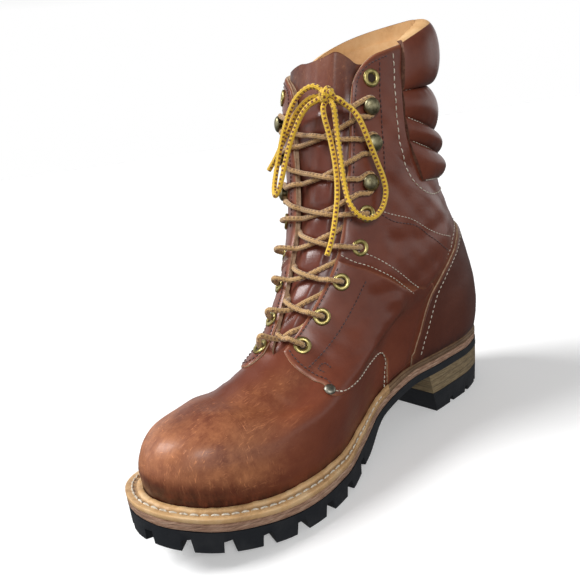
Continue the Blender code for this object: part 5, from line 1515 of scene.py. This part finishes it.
def make_laces():
    rows = EYELETS[:5] + HOOKS
    for number, (low, high) in enumerate(zip(rows, rows[1:])):
        hooks = number >= 5, number >= 4
        slack = 0.0022 if number < 4 else 0.0010
        arc, far_arc = ARCS[min(number, 4)]
        lines = [strand(low, high, True, LACE * 0.95, slack, *hooks, arc),
                 strand(low, high, False, 0.0, slack * 0.5, *hooks, far_arc)]
        lace("lacing_%d" % (number + 1), "lace_cross_%d" % (number + 1), lines)
    up, around = HOOKS[-1]
    top = facing_out(up) + LACE / 2
    for side, sign, edge in (("medial", 1, medial_edge), ("lateral", -1, lateral_edge)):
        a = on_side(side, around, up)
        wide = sign / span(a, up)
        points = [skin(a - HOOK_SIDE * wide, up, top), skin(a, up + HOOK_OVER, top),
                  skin(a + 0.008 * wide, up + 0.0034 / UPPER_HEIGHT, top + 0.0003),
                  skin(float(edge(up)), up + 0.010, top + 0.0010)]
        last = points[-1]
        for t in (0.33, 0.66, 1.0):
            points.append(last + (KNOT - last) * t - np.array([0, 0.002 * sin(pi * t), 0]))
        lace("lace_bar_%s_braid" % side, "lace_bar_" + side, [drawn(points)])
    wraps = []
    for tilt, size_a, size_b, turn_by in ((0.15, 0.0042, 0.0040, 0.0), (-0.5, 0.0036, 0.0034, 0.9)):
        u = unit(np.array([cos(turn_by) * 0.25, -0.25, 1.0]))
        v = unit(np.cross(u, [cos(tilt), sin(tilt), 0.0]))
        wraps.append([u * sin(a) * size_b + v * cos(a) * size_a for a in np.linspace(0, 2 * pi * 0.98, 14)])
    wraps.append([(-0.0052, -0.0006, 0.0008), (-0.0010, -0.0030, 0.0022), (0.0034, -0.0018, 0.0008),
                  (0.0050, 0.0006, -0.0016)])
    wraps.append([(-0.0040, -0.0020, -0.0026), (0.0004, -0.0032, -0.0018), (0.0044, -0.0010, 0.0022)])
    tied = lace("bow_knot", "lace_knot", [drawn([KNOT + np.array(spot) for spot in wrap]) for wrap in wraps],
                LACE_BRIGHT)
    free_lace("bow_loop_medial", "lace_loop_medial", LOOP_MEDIAL, True)
    free_lace("bow_loop_lateral", "lace_loop_lateral", LOOP_LATERAL, True)
    free_lace("bow_end_medial", "lace_end_medial", END_MEDIAL, False)
    free_lace("bow_end_lateral", "lace_end_lateral", END_LATERAL, False)


make_laces()


# ---------------------------------------------------------------- inside, floor and light
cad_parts["insole"].data.materials.clear()
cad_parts["insole"].data.materials.append(LINING)

mesh = bpy.data.meshes.new("floor")
corners = [(x, y, -0.0003) for x, y in ((-60, -60), (60, -60), (60, 60), (-60, 60))]
mesh.from_pydata(corners, [], [(0, 1, 2, 3)])
floor = bpy.data.objects.new("floor", mesh)
white, nodes = paint("pale_floor", 0.8)
inputs = nodes.tree.nodes["Principled BSDF"].inputs
inputs["Base Color"].default_value = (0.90, 0.90, 0.90, 1)
inputs["Emission Color"].default_value = (1, 1, 1, 1)
inputs["Emission Strength"].default_value = 0.22
mesh.materials.append(white)
scene.collection.objects.link(floor)
floor.visible_diffuse = False
floor.visible_glossy = False

world = bpy.data.worlds.new("studio")
world.use_nodes = True
sky = Nodes(world.node_tree)
height = sky.add("SeparateXYZ", {0: sky.place.node.outputs["Generated"]}).outputs[2]
glow = sky.ramp(sky.plus(sky.times(height, 0.5), 0.5), (0.46, 0.12), (0.48, 1.0), (0.61, 1.0), (0.70, 0.20))
background = world.node_tree.nodes["Background"]
sky.tree.links.new(glow, background.inputs["Color"])
background.inputs["Strength"].default_value = 1.0
scene.world = world


def light(name, kind, at, ahead, **settings):
    data = bpy.data.lights.new(name, kind)
    for key, value in settings.items():
        setattr(data, key, value)
    made = bpy.data.objects.new(name, data)
    scene.collection.objects.link(made)
    made.location = at
    made.rotation_mode = "QUATERNION"
    made.rotation_quaternion = Vector(ahead).to_track_quat("-Z", "Y")


light("sun", "SUN", (0, 0, 0), (0.45, 0.50, -0.78), energy=2.9, angle=0.45)
light("side", "AREA", (1.05, -0.75, 0.85), (-1.05, 0.67, -0.73), shape="DISK", size=0.40, energy=7)
scene.view_settings.view_transform = "Standard"
